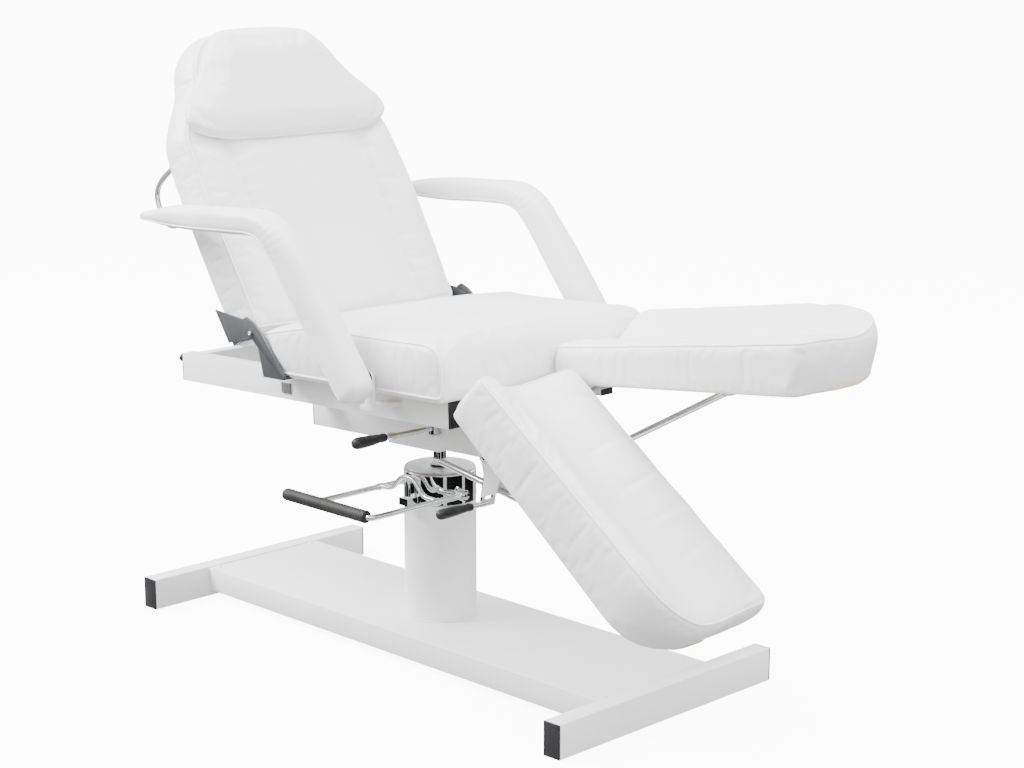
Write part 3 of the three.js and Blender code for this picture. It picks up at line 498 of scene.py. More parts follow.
def moulded_plastic():
    n = Nodes("black_moulded_plastic")
    tone = n.ramp(n.noise(25, 2), [(0.3, (0.012, 0.012, 0.013)), (0.7, (0.024, 0.024, 0.026))])
    n.link(tone, n.shader.inputs["Base Color"])
    n.link(n.range(n.noise(120, 3), 0.38, 0.55), n.shader.inputs["Roughness"])
    n.bumps((n.cells(1500), 0.1, 0.3),)
    n.set(Specular_IOR_Level=0.3)
    return n.material


def grey_plastic():
    n = Nodes("grey_moulded_plastic")
    tone = n.ramp(n.noise(40, 2), [(0.3, (0.17, 0.172, 0.176)), (0.7, (0.22, 0.222, 0.226))])
    n.link(tone, n.shader.inputs["Base Color"])
    n.link(n.range(n.noise(120, 3), 0.4, 0.55), n.shader.inputs["Roughness"])
    n.bumps((n.noise(900, 2), 0.05, 0.2),)
    return n.material


def grip_rubber():
    n = Nodes("black_grip_rubber")
    tone = n.ramp(n.noise(40, 3), [(0.3, (0.010, 0.010, 0.010)), (0.7, (0.024, 0.024, 0.024))])
    n.link(tone, n.shader.inputs["Base Color"])
    n.link(n.range(n.noise(150, 3), 0.5, 0.7), n.shader.inputs["Roughness"])
    n.bumps((n.noise(1300, 2), 0.15, 0.4),)
    n.set(Specular_IOR_Level=0.25)
    return n.material


def satin_black():
    n = Nodes("satin_black_paint")
    tone = n.ramp(n.noise(18, 3), [(0.3, (0.035, 0.037, 0.04)), (0.7, (0.06, 0.062, 0.066))])
    n.link(tone, n.shader.inputs["Base Color"])
    n.link(n.range(n.noise(80, 3), 0.3, 0.45), n.shader.inputs["Roughness"])
    n.bumps((n.noise(600, 2), 0.1, 0.25),)
    return n.material


def birch_plywood():
    n = Nodes("birch_plywood")
    grain = n.noise(16, 5, (1, 14, 30))
    tone = n.ramp(grain, [(0.3, (0.50, 0.42, 0.31)), (0.55, (0.62, 0.54, 0.42)), (0.75, (0.68, 0.61, 0.49))])
    n.link(tone, n.shader.inputs["Base Color"])
    n.link(n.range(grain, 0.55, 0.75), n.shader.inputs["Roughness"])
    n.bumps((grain, 0.2, 0.4),)
    return n.material


def dust_cloth():
    n = Nodes("black_dust_cloth")
    weave = n.cells(1100)
    tone = n.ramp(weave, [(0.1, (0.012, 0.012, 0.012)), (0.6, (0.035, 0.035, 0.035))])
    n.link(tone, n.shader.inputs["Base Color"])
    n.link(n.range(n.noise(60, 2), 0.8, 0.95), n.shader.inputs["Roughness"])
    n.bumps((weave, 0.3, 0.6),)
    return n.material


LEATHER = (leatherette(), "white_leather")
PIPING = (piping_cover(), "white_leather")
PAINT = (gloss_paint(), "white_paint")
CHROME = (polished_chrome(), "chrome")
STEEL = (bare_steel(), "grey_steel")
PLASTIC = (moulded_plastic(), "black_plastic")
GREY = (grey_plastic(), "grey_plastic")
RUBBER = (grip_rubber(), "black_rubber")
BLACK = (satin_black(), "black_steel")
WOOD = (birch_plywood(), "plywood")
CLOTH = (dust_cloth(), "back_cloth")


# ---------- soft goods ----------
VOXEL = 5.5


def coordinates(piece):
    flat = np.zeros(len(piece.data.vertices) * 3)
    piece.data.vertices.foreach_get("co", flat)
    return flat.reshape(-1, 3) / MM


def normals(piece):
    flat = np.zeros(len(piece.data.vertices) * 3)
    piece.data.vertex_normals.foreach_get("vector", flat)
    return flat.reshape(-1, 3)


def move_to(piece, points):
    piece.data.vertices.foreach_set("co", (points * MM).ravel())
    piece.data.update()


def foam_block(name, rings, voxel=VOXEL):
    """An evenly meshed closed block from lofted rings."""
    piece = linked(name, mesh_from(name, [loft(rings)]))
    remesh = piece.modifiers.new("even", "REMESH")
    remesh.mode = "VOXEL"
    remesh.voxel_size = voxel * MM
    relax = piece.modifiers.new("relax", "SMOOTH")
    relax.factor = 0.5
    relax.iterations = 4
    apply_modifiers(piece)
    return piece


def puff(piece, held, cap, pressure=4.0, slack=0.0):
    """Cloth simulation: the cover swells under pressure. held is 1 where it can't move, and cap is in millimetres."""
    start = coordinates(piece)
    group = piece.vertex_groups.new(name="held")
    for index in np.nonzero(held > 0.5)[0]:
        group.add([int(index)], 1.0, "REPLACE")
    cloth = piece.modifiers.new("cover", "CLOTH")
    cloth.settings.quality = 4
    cloth.settings.mass = 0.3
    cloth.settings.tension_stiffness = 12
    cloth.settings.compression_stiffness = 12
    cloth.settings.bending_stiffness = 0.4
    cloth.settings.shrink_min = -slack
    cloth.settings.vertex_group_mass = "held"
    cloth.settings.use_pressure = True
    cloth.settings.uniform_pressure_force = pressure
    cloth.settings.effector_weights.gravity = 0
    scene = bpy.context.scene
    for number in range(1, 21):
        scene.frame_set(number)
    seen = piece.evaluated_get(bpy.context.evaluated_depsgraph_get())
    flat = np.zeros(len(seen.data.vertices) * 3)
    seen.data.vertices.foreach_get("co", flat)
    shift = flat.reshape(-1, 3) / MM - start
    piece.modifiers.clear()
    piece.vertex_groups.clear()
    scene.frame_set(1)
    length = np.linalg.norm(shift, axis=1)
    limit = cap * np.tanh(length / cap)
    move_to(piece, start + shift * (limit / np.maximum(length, 1e-9))[:, None])


def distance_to(points, path):
    """For each point: distance to the nearest path point, and how far along the path that is."""
    path = np.asarray(path, float)
    run = np.concatenate([[0], np.cumsum(np.linalg.norm(np.diff(path, axis=0), axis=1))])
    best = np.full(len(points), 1e9)
    where = np.zeros(len(points))
    near = np.nonzero(np.all((points > path.min(0) - 40) & (points < path.max(0) + 40), axis=1))[0]
    for part in np.array_split(near, max(1, len(near) // 4000)):
        gaps = np.linalg.norm(points[part][:, None, :] - path[None, :, :], axis=2)
        index = gaps.argmin(axis=1)
        best[part] = gaps[np.arange(len(part)), index]
        where[part] = run[index]
    return best, where


def sew(piece, path, depth=2.2, width=6.0, pucker=0.35, stitch=11.0):
    """Pulls the cover in along a seam, with small puckers beside it."""
    points = coordinates(piece)
    gap, run = distance_to(points, path)
    pull = depth * bell(gap, width)
    pull *= 1 + pucker * np.sin(run * 2 * math.pi / stitch) * bell(gap - width, width)
    move_to(piece, points - normals(piece) * pull[:, None])


def fine(piece):
    """One subdivision, then smooth shading."""
    divide = piece.modifiers.new("fine", "SUBSURF")
    divide.levels = 1
    divide.render_levels = 1
    apply_modifiers(piece)
    shade(piece)


def on_cover(piece, path, lift=0.4):
    """The path moved onto the piece's surface."""
    tree = BVHTree.FromPolygons([v.co for v in piece.data.vertices], [p.vertices for p in piece.data.polygons])
    moved = []
    for point in path:
        location, normal, _, _ = tree.find_nearest(Vector(point) * MM)
        moved.append(location / MM + normal * lift)
    points = np.array(moved)
    for _ in range(3):
        points[1:-1] = (points[:-2] + 2 * points[1:-1] + points[2:]) / 4
    return points


def welt(name, path, place, body, radius=2.3, closed=False):
    """A piping cord covered in the same leatherette."""
    return hard_piece(name, [sweep(path, radius, 12, closed)], place, PIPING, body, edge=0)


def cushion(piece, place, body, node):
    piece.data.transform(place)
    settle(piece, LEATHER[0], body, (node,))


def block_rings(outline, spine, bottom, top, wall_inset=0.0, bulge=3.0, edge=5.0):
    """Rings of a pad with an upright wall: bottom, wall, edge and a top shaped by top(a, b)."""
    normal = inward(outline)
    anchor = spine(outline)

    def ring(inset, mix, height):
        at = outline + normal * inset
        at = at * (1 - mix) + anchor * mix
        level = height(at) if callable(height) else np.full(len(at), height)
        return np.column_stack([at, level])

    rings = [ring(edge, mix, bottom) for mix in (0.94, 0.7, 0.4, 0.15, 0)]
    rings.append(ring(edge * 0.3, 0, bottom + edge * 0.3))
    rings.append(ring(0, 0, bottom + edge))
    wall_low = bottom + edge
    for k in range(1, 8):
        t = k / 8
        out = bulge * math.sin(math.pi * t)
        rings.append(ring(wall_inset * t - out, 0, lambda at: wall_low + (top(at) - edge - wall_low) * t))
    rings.append(ring(wall_inset, 0, lambda at: top(at) - edge))
    rings.append(ring(wall_inset + edge * 0.3, 0, lambda at: top(at) - edge * 0.3))
    rings.append(ring(wall_inset + edge, 0, top))
    for mix in (0.03, 0.07, 0.12, 0.18, 0.25, 0.33, 0.42, 0.52, 0.62, 0.72, 0.82, 0.94):
        rings.append(ring(wall_inset + edge, mix, top))
    return rings


# ---------- seat ----------
SEAT = {"x0": -188, "x1": 306, "half": 262, "z0": 539.4, "z1": 641}
SEAT_FRONT_ROUND = 46
SEAT_CROWN = 7


def seat_profile():
    x0, x1, z0, z1 = SEAT["x0"], SEAT["x1"], SEAT["z0"], SEAT["z1"]
    return rounded([(x0, z0, 4), (x1, z0, 8), (x1, z1, SEAT_FRONT_ROUND), (x0 + 150, z1, 70), (x0, z1 - 26, 14)], 7)


def seat_cushion():
    x0, x1, half, z0, z1 = (SEAT[k] for k in ("x0", "x1", "half", "z0", "z1"))
    profile = seat_profile()
    normal = inward(profile)
    anchor = np.column_stack([np.clip(profile[:, 0], x0 + 50, x1 - 50), np.full(len(profile), (z0 + z1) / 2)])

    def ring(y, inset, mix, crown):
        at = (profile + normal * inset) * (1 - mix) + anchor * mix
        lift = crown * SEAT_CROWN * ease(z0 + 40, z1, at[:, 1])
        lift -= crown * 5 * bell(at[:, 0] - 250, 60) * ease(z0 + 40, z1, at[:, 1])
        out = crown * 4 * ease(x1 - 40, x1, at[:, 0]) * ease(z0, z0 + 40, at[:, 1])
        return np.column_stack([at[:, 0] + out, np.full(len(at), y), at[:, 1] + lift])

    rings = []
    for side in (-1, 1):
        caps = [ring(side * (half + 3 * ease(0, 0.5, mix)), 5, mix, 0) for mix in (0.95, 0.7, 0.45, 0.2, 0.08)]
        caps.append(ring(side * half, 4, 0, 0))
        caps.append(ring(side * (half - 1.5), 1, 0, 0))
        caps.append(ring(side * (half - 5), 0, 0, 0.02))
        if side < 0:
            rings += caps
            rings += [ring(y, 0, 0, (1 - (y / half) ** 2) ** 0.7) for y in np.linspace(-half + 18, half - 18, 28)]
        else:
            rings += caps[::-1]
    piece = foam_block("seat_cushion_cover", rings)
    edges = []
    for side in (-1, 1):
        keep = [p for p in seat_profile() if p[1] > z0 + 6]
        start = min(range(len(keep)), key=lambda i: (keep[i][0] > x0 + 60) * 1e4 + keep[i][1])
        keep = keep[start:] + keep[:start]
        edges.append(np.array([(p[0], side * (half - 2), p[1]) for p in keep]))
    points = coordinates(piece)
    held = points[:, 2] < z0 + 8
    for edge in edges:
        held |= distance_to(points, edge)[0] < 7
    puff(piece, held, cap=7, slack=0.012)
    for edge in edges:
        sew(piece, edge, 2.0, 6)
    points = coordinates(piece)
    normal = normals(piece)
    top = ease(z0 + 60, z1 - 6, points[:, 2])
    soft = smooth_noise(points, 150, 3) * 1.2 * top
    gather = np.sin(points[:, 1] / 17 + 2 * np.sin(points[:, 0] / 60)) * bell(points[:, 0] - x0 - 40, 50) * 0.8 * top
    points = points + normal * (soft + gather)[:, None]
    points[:, 0] = np.minimum(points[:, 0], x1 + 2.5)
    move_to(piece, points)
    fine(piece)
    for (name, _), edge in zip(SIDES, edges):
        welt(f"seat_piping_{name}", on_cover(piece, resample(edge, 5, False)), UPPER, "frame")
    cushion(piece, UPPER, "frame", "seat_cushion")


# ---------- backrest ----------
BACK_FOOT = -4
BACK_WIDTHS = [(-4, 262), (60, 264), (380, 264), (400, 262), (418, 257), (449, 240), (517, 196), (581, 168),
               (612, 138), (632, 104), (640, 70)]
BACK_REAR = -74
BACK_FRONT = -5
GROOVE_Y = 162
BOLSTER_Y = 208


def back_outline(inset=0.0):
    half = [(BACK_FOOT, 250), (BACK_FOOT + 5, 260), (BACK_FOOT + 18, 264)]
    half += [(u, float(along(BACK_WIDTHS, u))) for u in np.linspace(60, 628, 48)]
    half += [(636, 98), (640, 70)]
    full = half + [(u, -y) for u, y in reversed(half)]
    return resample(full, 7)


def back_front(at):
    """Height of the front cover: a flat middle, a groove, and a bolster on each side."""
    u, y = at[:, 0], np.abs(at[:, 1])
    lower = 1 - ease(360, 400, u)
    bolster = 9 * bell(y - BOLSTER_Y, 26) * lower * ease(10, 60, u)
    groove = -8 * bell(y - GROOVE_Y, 15) * lower
    return BACK_FRONT + bolster + groove + 2.5 * bell(y, 110) * lower - 16 * ease(560, 640, u)


def back_spine(outline):
    return np.column_stack([np.clip(outline[:, 0], 180, 470), np.zeros(len(outline))])


def back_cushion():
    outline = back_outline()
    rings = block_rings(outline, back_spine, BACK_REAR, back_front, wall_inset=12, bulge=2, edge=6)
    piece = foam_block("back_cushion_cover", rings)
    rim = outline + inward(outline) * 14
    seam = np.column_stack([rim, back_front(rim) - 1])
    points = coordinates(piece)
    held = points[:, 2] < BACK_REAR + 8
    held |= distance_to(points, seam)[0] < 7
    held |= (np.abs(np.abs(points[:, 1]) - GROOVE_Y) < 5) & (points[:, 0] < 390) & (points[:, 2] > -30)
    puff(piece, held, cap=6, slack=0.012)
    closed_seam = np.vstack([seam, seam[:1]])
    sew(piece, closed_seam, 2.2, 6)
    for side in (-1, 1):
        line = np.array([(u, side * GROOVE_Y, 0) for u in np.linspace(30, 392, 80)])
        line[:, 2] = back_front(line)
        sew(piece, line, 1.6, 7, 0.5, 16)
    points = coordinates(piece)
    front = ease(-30, -8, points[:, 2])
    soft = smooth_noise(points, 170, 8) * 1.4 * front
    crease = np.sin(points[:, 0] / 13 + 1.5 * np.sin(points[:, 1] / 40)) * bell(points[:, 0] - 40, 34) * 0.9 * front
    move_to(piece, points + normals(piece) * (soft + crease)[:, None])
    fine(piece)
    welt("back_piping", on_cover(piece, resample(seam, 5)), BACK, "backrest", closed=True)
    cushion(piece, BACK, "backrest", "back_cushion")


PILLOW_WIDTHS = [(385, 236), (405, 244), (424, 249), (448, 243), (517, 187), (575, 147), (600, 125), (612, 112),
                 (618, 95), (623, 70)]
PILLOW_FRONT = [(384, 13), (406, 26), (458, 33), (520, 37), (575, 40), (604, 34), (622, 16)]


def pillow_outline():
    half = [(386 + 8 * (y / 240) ** 2, y) for y in np.linspace(0, 150, 14)]
    half += [(392, 176), (397, 200), (404, 222), (413, 237), (422, 244)]
    half += [(u, float(along(PILLOW_WIDTHS, u))) for u in np.linspace(432, 600, 28)]
    half += [(612, 112), (618, 96), (621.5, 70), (623, 36), (623.5, 0)]
    return resample(half + [(u, -y) for u, y in reversed(half[1:-1])], 6)


def pillow_front(at):
    u, y = at[:, 0], np.abs(at[:, 1])
    width = along(PILLOW_WIDTHS, u)
    return along(PILLOW_FRONT, u) * (1 - 0.5 * ease(0.72, 1.02, y / width) ** 1.5)


def head_pillow():
    outline = pillow_outline()

    def spine(points):
        return np.column_stack([np.clip(points[:, 0], 470, 540), np.clip(points[:, 1], -70, 70)])

    rings = block_rings(outline, spine, -1.4, pillow_front, wall_inset=3, bulge=1.5, edge=5)
    piece = foam_block("head_pillow_cover", rings, 5)
    seam = np.column_stack([outline + inward(outline) * 0.5, np.full(len(outline), 5.0)])
    points = coordinates(piece)
    held = (points[:, 2] < 4) | (points[:, 0] < 396)
    held |= distance_to(points, seam)[0] < 5
    puff(piece, held, cap=5, slack=0.015)
    sew(piece, np.vstack([seam, seam[:1]]), 1.6, 5, 0.5)
    points = coordinates(piece)
    front = ease(6, 20, points[:, 2])
    soft = smooth_noise(points, 120, 21) * 1.3 * front
    move_to(piece, points + normals(piece) * soft[:, None])
    fine(piece)
    welt("pillow_piping", on_cover(piece, resample(seam, 5)), BACK, "backrest", radius=2.6, closed=True)
    cushion(piece, BACK, "backrest", "head_pillow")


# ---------- leg rests ----------
LEG_SIZE = {"u0": 12, "u1": 583, "inner": 4, "outer": 262, "v0": 16.3}
LEG_UNDERCUT = 20
LEG_HEEL = 5
LEG_GAP = 1.5
LEG_SECTION = [(0, -3), (14, 0), (34, 1), (60, -2), (100, -12), (138, -17), (172, -10), (205, 14), (232, 30),
               (250, 33), (264, 30)]


def leg_top(side):
    def top(at):
        u, y = at[:, 0], at[:, 1] * side
        t = (u - LEG_SIZE["u0"]) / (LEG_SIZE["u1"] - LEG_SIZE["u0"])
        inner = 88 + 22 * t
        shape = along(LEG_SECTION, y)
        fade = 1 - ease(450, 580, u)
        shape = np.where(shape < 0, shape * (0.35 + 0.65 * fade), shape * (0.45 + 0.55 * fade))
        return inner + shape 
    return top


def leg_outline(side):
    u0, u1, inner, outer = (LEG_SIZE[k] for k in ("u0", "u1", "inner", "outer"))
    corners = [(u0, inner, 10), (u1 - 13, inner, 22), (u1 - 3, outer, 122), (u0, outer, 14)]
    if side < 0:
        corners = corners[::-1]
    return rounded([(u, side * y, r) for u, y, r in corners], 6)


def leg_cushion(name, side):
    outline = leg_outline(side)
    top = leg_top(side)
    middle = side * 133

    def spine(points):
        return np.column_stack([np.clip(points[:, 0], 110, 480), np.full(len(points), middle)])

    rings = block_rings(outline, spine, LEG_SIZE["v0"], top, wall_inset=1.5, bulge=3, edge=5)
    piece = foam_block(f"leg_cushion_cover_{name}", rings)
    points = coordinates(piece)
    points[:, 0] += ease(60, 0, points[:, 0]) * LEG_HEEL * ease(LEG_SIZE["v0"], 120, points[:, 2])
    points[:, 0] -= ease(440, 583, points[:, 0]) * LEG_UNDERCUT * ease(96, LEG_SIZE["v0"], points[:, 2])
    move_to(piece, points)
    rim = outline + inward(outline) * 2.5
    seam = np.column_stack([rim, top(rim) - 1.5])
    seam[:, 0] += ease(60, 0, seam[:, 0]) * LEG_HEEL * ease(LEG_SIZE["v0"], 120, seam[:, 2])
    points = coordinates(piece)
    held = points[:, 2] < LEG_SIZE["v0"] + 8
    held |= distance_to(points, seam)[0] < 7
    puff(piece, held, cap=5, slack=0.015)
    sew(piece, np.vstack([seam, seam[:1]]), 2.2, 6, 0.4)
    points = coordinates(piece)
    upper = ease(70, 84, points[:, 2])
    y = points[:, 1] * side
    inner_half = ease(128, 96, y) * ease(2, 14, y)
    soft = smooth_noise(points, 130, 40 + side) * 1.2 * upper
    folds = np.zeros(len(points))
    for u, lean in ((188, 0.10), (276, 0.16), (352, 0.12), (432, 0.2)):
        folds -= 1.5 * bell(points[:, 0] - u - lean * (y - 60), 5) * inner_half
        folds += 0.9 * bell(points[:, 0] - u - 12 - lean * (y - 60), 9) * inner_half
    points = points + normals(piece) * (soft + folds * upper)[:, None]
    points[:, 0] = np.maximum(points[:, 0], LEG_SIZE["u0"] - 0.5)
    points[:, 1] = side * np.maximum(points[:, 1] * side, LEG_GAP)
    move_to(piece, points)
    fine(piece)
    body = f"leg_{name}"
    welt(f"leg_piping_{name}", on_cover(piece, resample(seam, 5)), LEG[name], body, closed=True)
    cushion(piece, LEG[name], body, f"leg_cushion_{name}")


# ---------- armrests ----------
ARM_Y = 318
ARM_HALF_WIDTH = 29.5
ARM_LINE = [(160, 539), (125, 592), (75, 661), (21, 734), (-25, 792), (-59, 819), (-96, 830), (-150, 831),
            (-240, 830), (-330, 828.5), (-400, 827), (-437, 825)]
ARM_DEPTH = [(0, 29), (60, 31), (220, 31), (309, 28), (359, 25), (440, 23), (540, 23), (620, 21), (665, 17),
             (695, 12), (727, 8)]


def arm_section(depth, width, steps=44):
    """A section with a domed upper side and a flatter lower side, as (sideways, up) pairs."""
    points = []
    for k in range(steps):
        angle = 2 * math.pi * k / steps
        across, up = math.cos(angle), math.sin(angle)
        power = 0.62 if up > 0 else 0.42
        points.append((width * math.copysign(abs(across) ** power, across),
                       depth * math.copysign(abs(up) ** (0.8 if up > 0 else 0.55), up)))
    return points


def armrest(name, side):
    line = spline([(x, 0, z) for x, z in ARM_LINE], 7)
    run = np.concatenate([[0], np.cumsum(np.linalg.norm(np.diff(line, axis=0), axis=1))])
    length = run[-1]
    rings = []
    for i, point in enumerate(line):
        ahead = line[min(i + 1, len(line) - 1)] - line[max(i - 1, 0)]
        ahead /= np.linalg.norm(ahead)
        up = np.array([ahead[2], 0, -ahead[0]]) if ahead[0] > 0 else np.array([-ahead[2], 0, ahead[0]])
        up = -up if up[2] < 0 else up
        start = math.sqrt(max(0.02, 1 - (1 - min(run[i] / 24, 1)) ** 2))
        end = math.sqrt(max(0.05, 1 - (1 - min((length - run[i]) / 30, 1)) ** 2))
        depth = float(along(ARM_DEPTH, run[i])) * start
        width = ARM_HALF_WIDTH * (0.55 + 0.45 * start) * (0.45 + 0.55 * end)
        rings.append([point + up * b + np.array([0, side * ARM_Y + a, 0]) for a, b in arm_section(depth, width)])
    piece = foam_block(f"armrest_cover_{name}", rings, 4.5)
    points = coordinates(piece)
    soft = smooth_noise(points, 90, 60 + side) * 0.8
    bend = bell(np.hypot(points[:, 0] + 48, points[:, 2] - 800), 34)
    pinch = np.sin(np.arctan2(points[:, 2] - 760, points[:, 0] + 120) * 46) * bend * 0.8
    move_to(piece, points + normals(piece) * (soft + pinch)[:, None])
    seams = []
    for edge in (-1, 1):
        path = []
        for i, ring in enumerate(rings[2:-1]):
            k = int(len(ring) * (0.5 + 0.105 if edge < 0 else 1 - 0.105))
            path.append(ring[k])
        seams.append(np.array(path))
        sew(piece, seams[-1], 1.4, 5, 0.3)
    fine(piece)
    body = f"armrest_{name}"
    for label, seam in zip(("outer", "inner"), seams[::side * -1]):
        welt(f"armrest_piping_{label}_{name}", on_cover(piece, seam), UPPER, body, radius=1.9)
    cushion(piece, UPPER, body, f"armrest_pad_{name}")


# ---------- hard parts ----------
def column_and_pump():
    top = shroud_high.z / MM
    low = shroud_low.z / MM
    hard_piece("column_tube", [ring_shape(COLUMN_RADIUS - 3, COLUMN_RADIUS, low, top, 0.8)], BASE, PAINT, "base",
               ("column_shroud",), 0)
    bead = [(COLUMN_RADIUS * math.cos(a) * 1.012, COLUMN_RADIUS * math.sin(a) * 1.012,
             low + 1.2 + 0.5 * math.sin(60 * a)) for a in np.linspace(0, 2 * math.pi, 240, endpoint=False)]
    hard_piece("column_weld", [sweep(bead, 2.0, 10, True)], BASE, PAINT, "base", edge=0)


def pump():
    """The chrome head of the pump: collar with pedal studs, cap, seal, piston with its gland, plunger."""
    z0, z1 = (corner.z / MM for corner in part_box("pump_collar"))
    radius = COLUMN_RADIUS + 0.4
    shapes = [ring_shape(radius - 5, radius, z0, z1, 2.2, 160)]
    for side in (-1, 1):
        shapes.append(spun((side * (radius - 3), PEDAL_Y, PEDAL_Z), (side * 96, PEDAL_Y, PEDAL_Z),
                           [(0, 0), (0, 9), (3.5, 9), (3.5, 5), (19, 5), (19, 7), (22, 7), (23, 0)]))
    shapes.append(block((-12, 12), (ARCH_Y - 12, -radius + 2), (z0 + 2, z0 + 16)))
    hard_piece("pump_collar_detail", shapes, BASE, CHROME, "base", ("pump_collar",), 0)
    cap0, cap1 = (corner.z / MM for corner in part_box("pump_cap"))
    hard_piece("pump_cap_detail", [ring_shape(PISTON + 0.6, COLUMN_RADIUS - 1.2, cap0, cap1, 1.6, 160)],
               BASE, STEEL, "base", ("pump_cap",), 0)
    hard_piece("pump_seal", [ring_shape(PISTON + 0.3, PISTON + 5.5, cap1, cap1 + 2.4, 1.2, 96)], BASE, RUBBER, "base",
               edge=0)
    low, high = (corner.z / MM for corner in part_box("piston_rod"))
    hard_piece("piston_detail", [spun((0, 0, low), (0, 0, high), [(0, 0), (0, PISTON), (high - low, PISTON),
                                                                   (high - low, 0)], 0.8, 72)],
               BASE, CHROME, "piston", ("piston_rod",), 0)
    gland = [ring_shape(PISTON + 0.5, PISTON + 5.5, cap1 + 2.4, cap1 + 5.6, 1.2, 96),
             ring_shape(PISTON + 0.5, PISTON + 3.2, cap1 + 5.6, cap1 + 8.4, 1.0, 96)]
    hard_piece("piston_gland", gland, BASE, CHROME, "base", edge=0)
    p0, p1 = (corner.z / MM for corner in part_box("pump_plunger"))
    hard_piece("plunger_detail", [spun((0, ARCH_Y, p0), (0, ARCH_Y, p1), [(0, 0), (0, 6), (p1 - p0, 6),
                                                                           (p1 - p0, 0)], 1.2)],
               BASE, CHROME, "plunger", ("pump_plunger",), 0)


PISTON = 12.5
PEDAL_Y = -14
PEDAL_Z = 307
PEDAL_BAR_Y = -241
PEDAL_ARM = 79
PEDAL_BEND = 10
PEDAL_LEFT = -156
ARCH_Y = -82
PEDAL_ARCH = [(-76, 309), (-58, 309.5), (-48, 311), (-38, 316), (-28, 327), (-16, 337), (0, 340), (16, 337), (28, 327),
              (38, 316), (48, 311), (58, 309.5), (76, 309)]


def pedal():
    bend = [(PEDAL_ARM - PEDAL_BEND * (1 - math.cos(a)), PEDAL_BAR_Y + PEDAL_BEND * (1 - math.sin(a)), PEDAL_Z)
            for a in np.linspace(0, math.pi / 2, 13)]
    long_rod = [(PEDAL_ARM, PEDAL_Y - 7, PEDAL_Z), *bend, (PEDAL_LEFT + 3, PEDAL_BAR_Y, PEDAL_Z)]
    shapes = [sweep(long_rod, 5.6, 32),
              rod((-PEDAL_ARM, PEDAL_Y - 7, PEDAL_Z), (-PEDAL_ARM, PEDAL_BAR_Y + 3, PEDAL_Z), 5.6, 32),
              sweep(spline([(x, ARCH_Y, z) for x, z in PEDAL_ARCH], 4), 4.7, 28)]
    for side in (-1, 1):
        shapes.append(spun((side * (PEDAL_ARM - 6), PEDAL_Y, PEDAL_Z), (side * (PEDAL_ARM + 6), PEDAL_Y, PEDAL_Z),
                           [(0, 5.4), (0, 10.5), (12, 10.5), (12, 5.4)]))
        shapes.append(sweep([(side * PEDAL_ARM, ARCH_Y - 7, PEDAL_Z), (side * PEDAL_ARM, ARCH_Y - 5, PEDAL_Z),
                             (side * PEDAL_ARM, ARCH_Y + 5, PEDAL_Z), (side * PEDAL_ARM, ARCH_Y + 7, PEDAL_Z)],
                            [5.6, 7, 7, 5.6], 28))
    hard_piece("pedal_rods", shapes, BASE, CHROME, "pedal", ("pedal_frame",), 0)
    left, right = PEDAL_LEFT - 11.5, PEDAL_ARM - PEDAL_BEND - 2
    length = right - left
    profile = [(0, 0), (0.4, 4), (2, 7.5), (5, 10.2), (9, 11.6)]
    ribs = 22
    for k in range(ribs * 4 + 1):
        distance = 12 + (length - 20) * k / (ribs * 4)
        profile.append((distance, 11.7 + 0.25 * math.cos(k * math.pi / 2)))
    profile += [(length - 4, 12), (length - 1, 11), (length, 9), (length, 0)]
    hard_piece("pedal_sleeve_detail", [turned((left, PEDAL_BAR_Y, PEDAL_Z), (right, PEDAL_BAR_Y, PEDAL_Z), profile, 40)],
               BASE, RUBBER, "pedal", ("pedal_sleeve",), 0)


LEG_LOCK = Vector((275, 0, 375))
LEG_STRUT_PIN = (312, 1.5)
LEG_MIDDLE = 130
LEG_STRUT_RADIUS = 6.5
BACK_STRUT_PIN = (40, -115)
BACK_LOCK_REACH = 121.8
BACK_LOCK_ANGLE = 290 * RAD


def strut(name, pin, lock, y, length, radius, body, replaced):
    direction = (lock - pin).normalized()
    place = Vector((0, y, 0))
    far = pin + direction * length
    shapes = [spun(pin + direction * 6 + place, far + place,
                   [(0, 0), (0, radius), (length - 8, radius), (length - 6, radius - 1.6), (length - 6, 0)], 0.7, 40),
              spun((pin.x, y - 8, pin.z), (pin.x, y + 8, pin.z), [(0, 5.4), (0, 10), (16, 10), (16, 5.4)])]
    hard_piece(name, shapes, UPPER, CHROME, body, (replaced,), 0)


def struts():
    for name, side in SIDES:
        angle = LEG_ANGLE[name]
        u, v = LEG_STRUT_PIN
        pin = LEG_PIVOT + Vector((u * math.cos(angle) - v * math.sin(angle), 0,
                                  u * math.sin(angle) + v * math.cos(angle)))
        strut(f"leg_strut_rod_{name}", pin, LEG_LOCK, side * LEG_MIDDLE, 395, LEG_STRUT_RADIUS, f"leg_strut_{name}",
              f"leg_strut_{name}")
    u, w = BACK_STRUT_PIN
    pin = BACK_PIVOT + Vector((-u * math.cos(BACK_ANGLE) + w * math.sin(BACK_ANGLE), 0,
                               u * math.sin(BACK_ANGLE) + w * math.cos(BACK_ANGLE)))
    lock = BACK_PIVOT + Vector((math.cos(BACK_LOCK_ANGLE), 0, math.sin(BACK_LOCK_ANGLE))) * BACK_LOCK_REACH
    strut("back_strut_rod", pin, lock, 0, 220, 7, "back_strut", "back_strut")


HANDLE_MIDDLE = 326
HANDLE_HALF = 51
HANDLE_DEPTH = 86
HANDLE_Y = 248


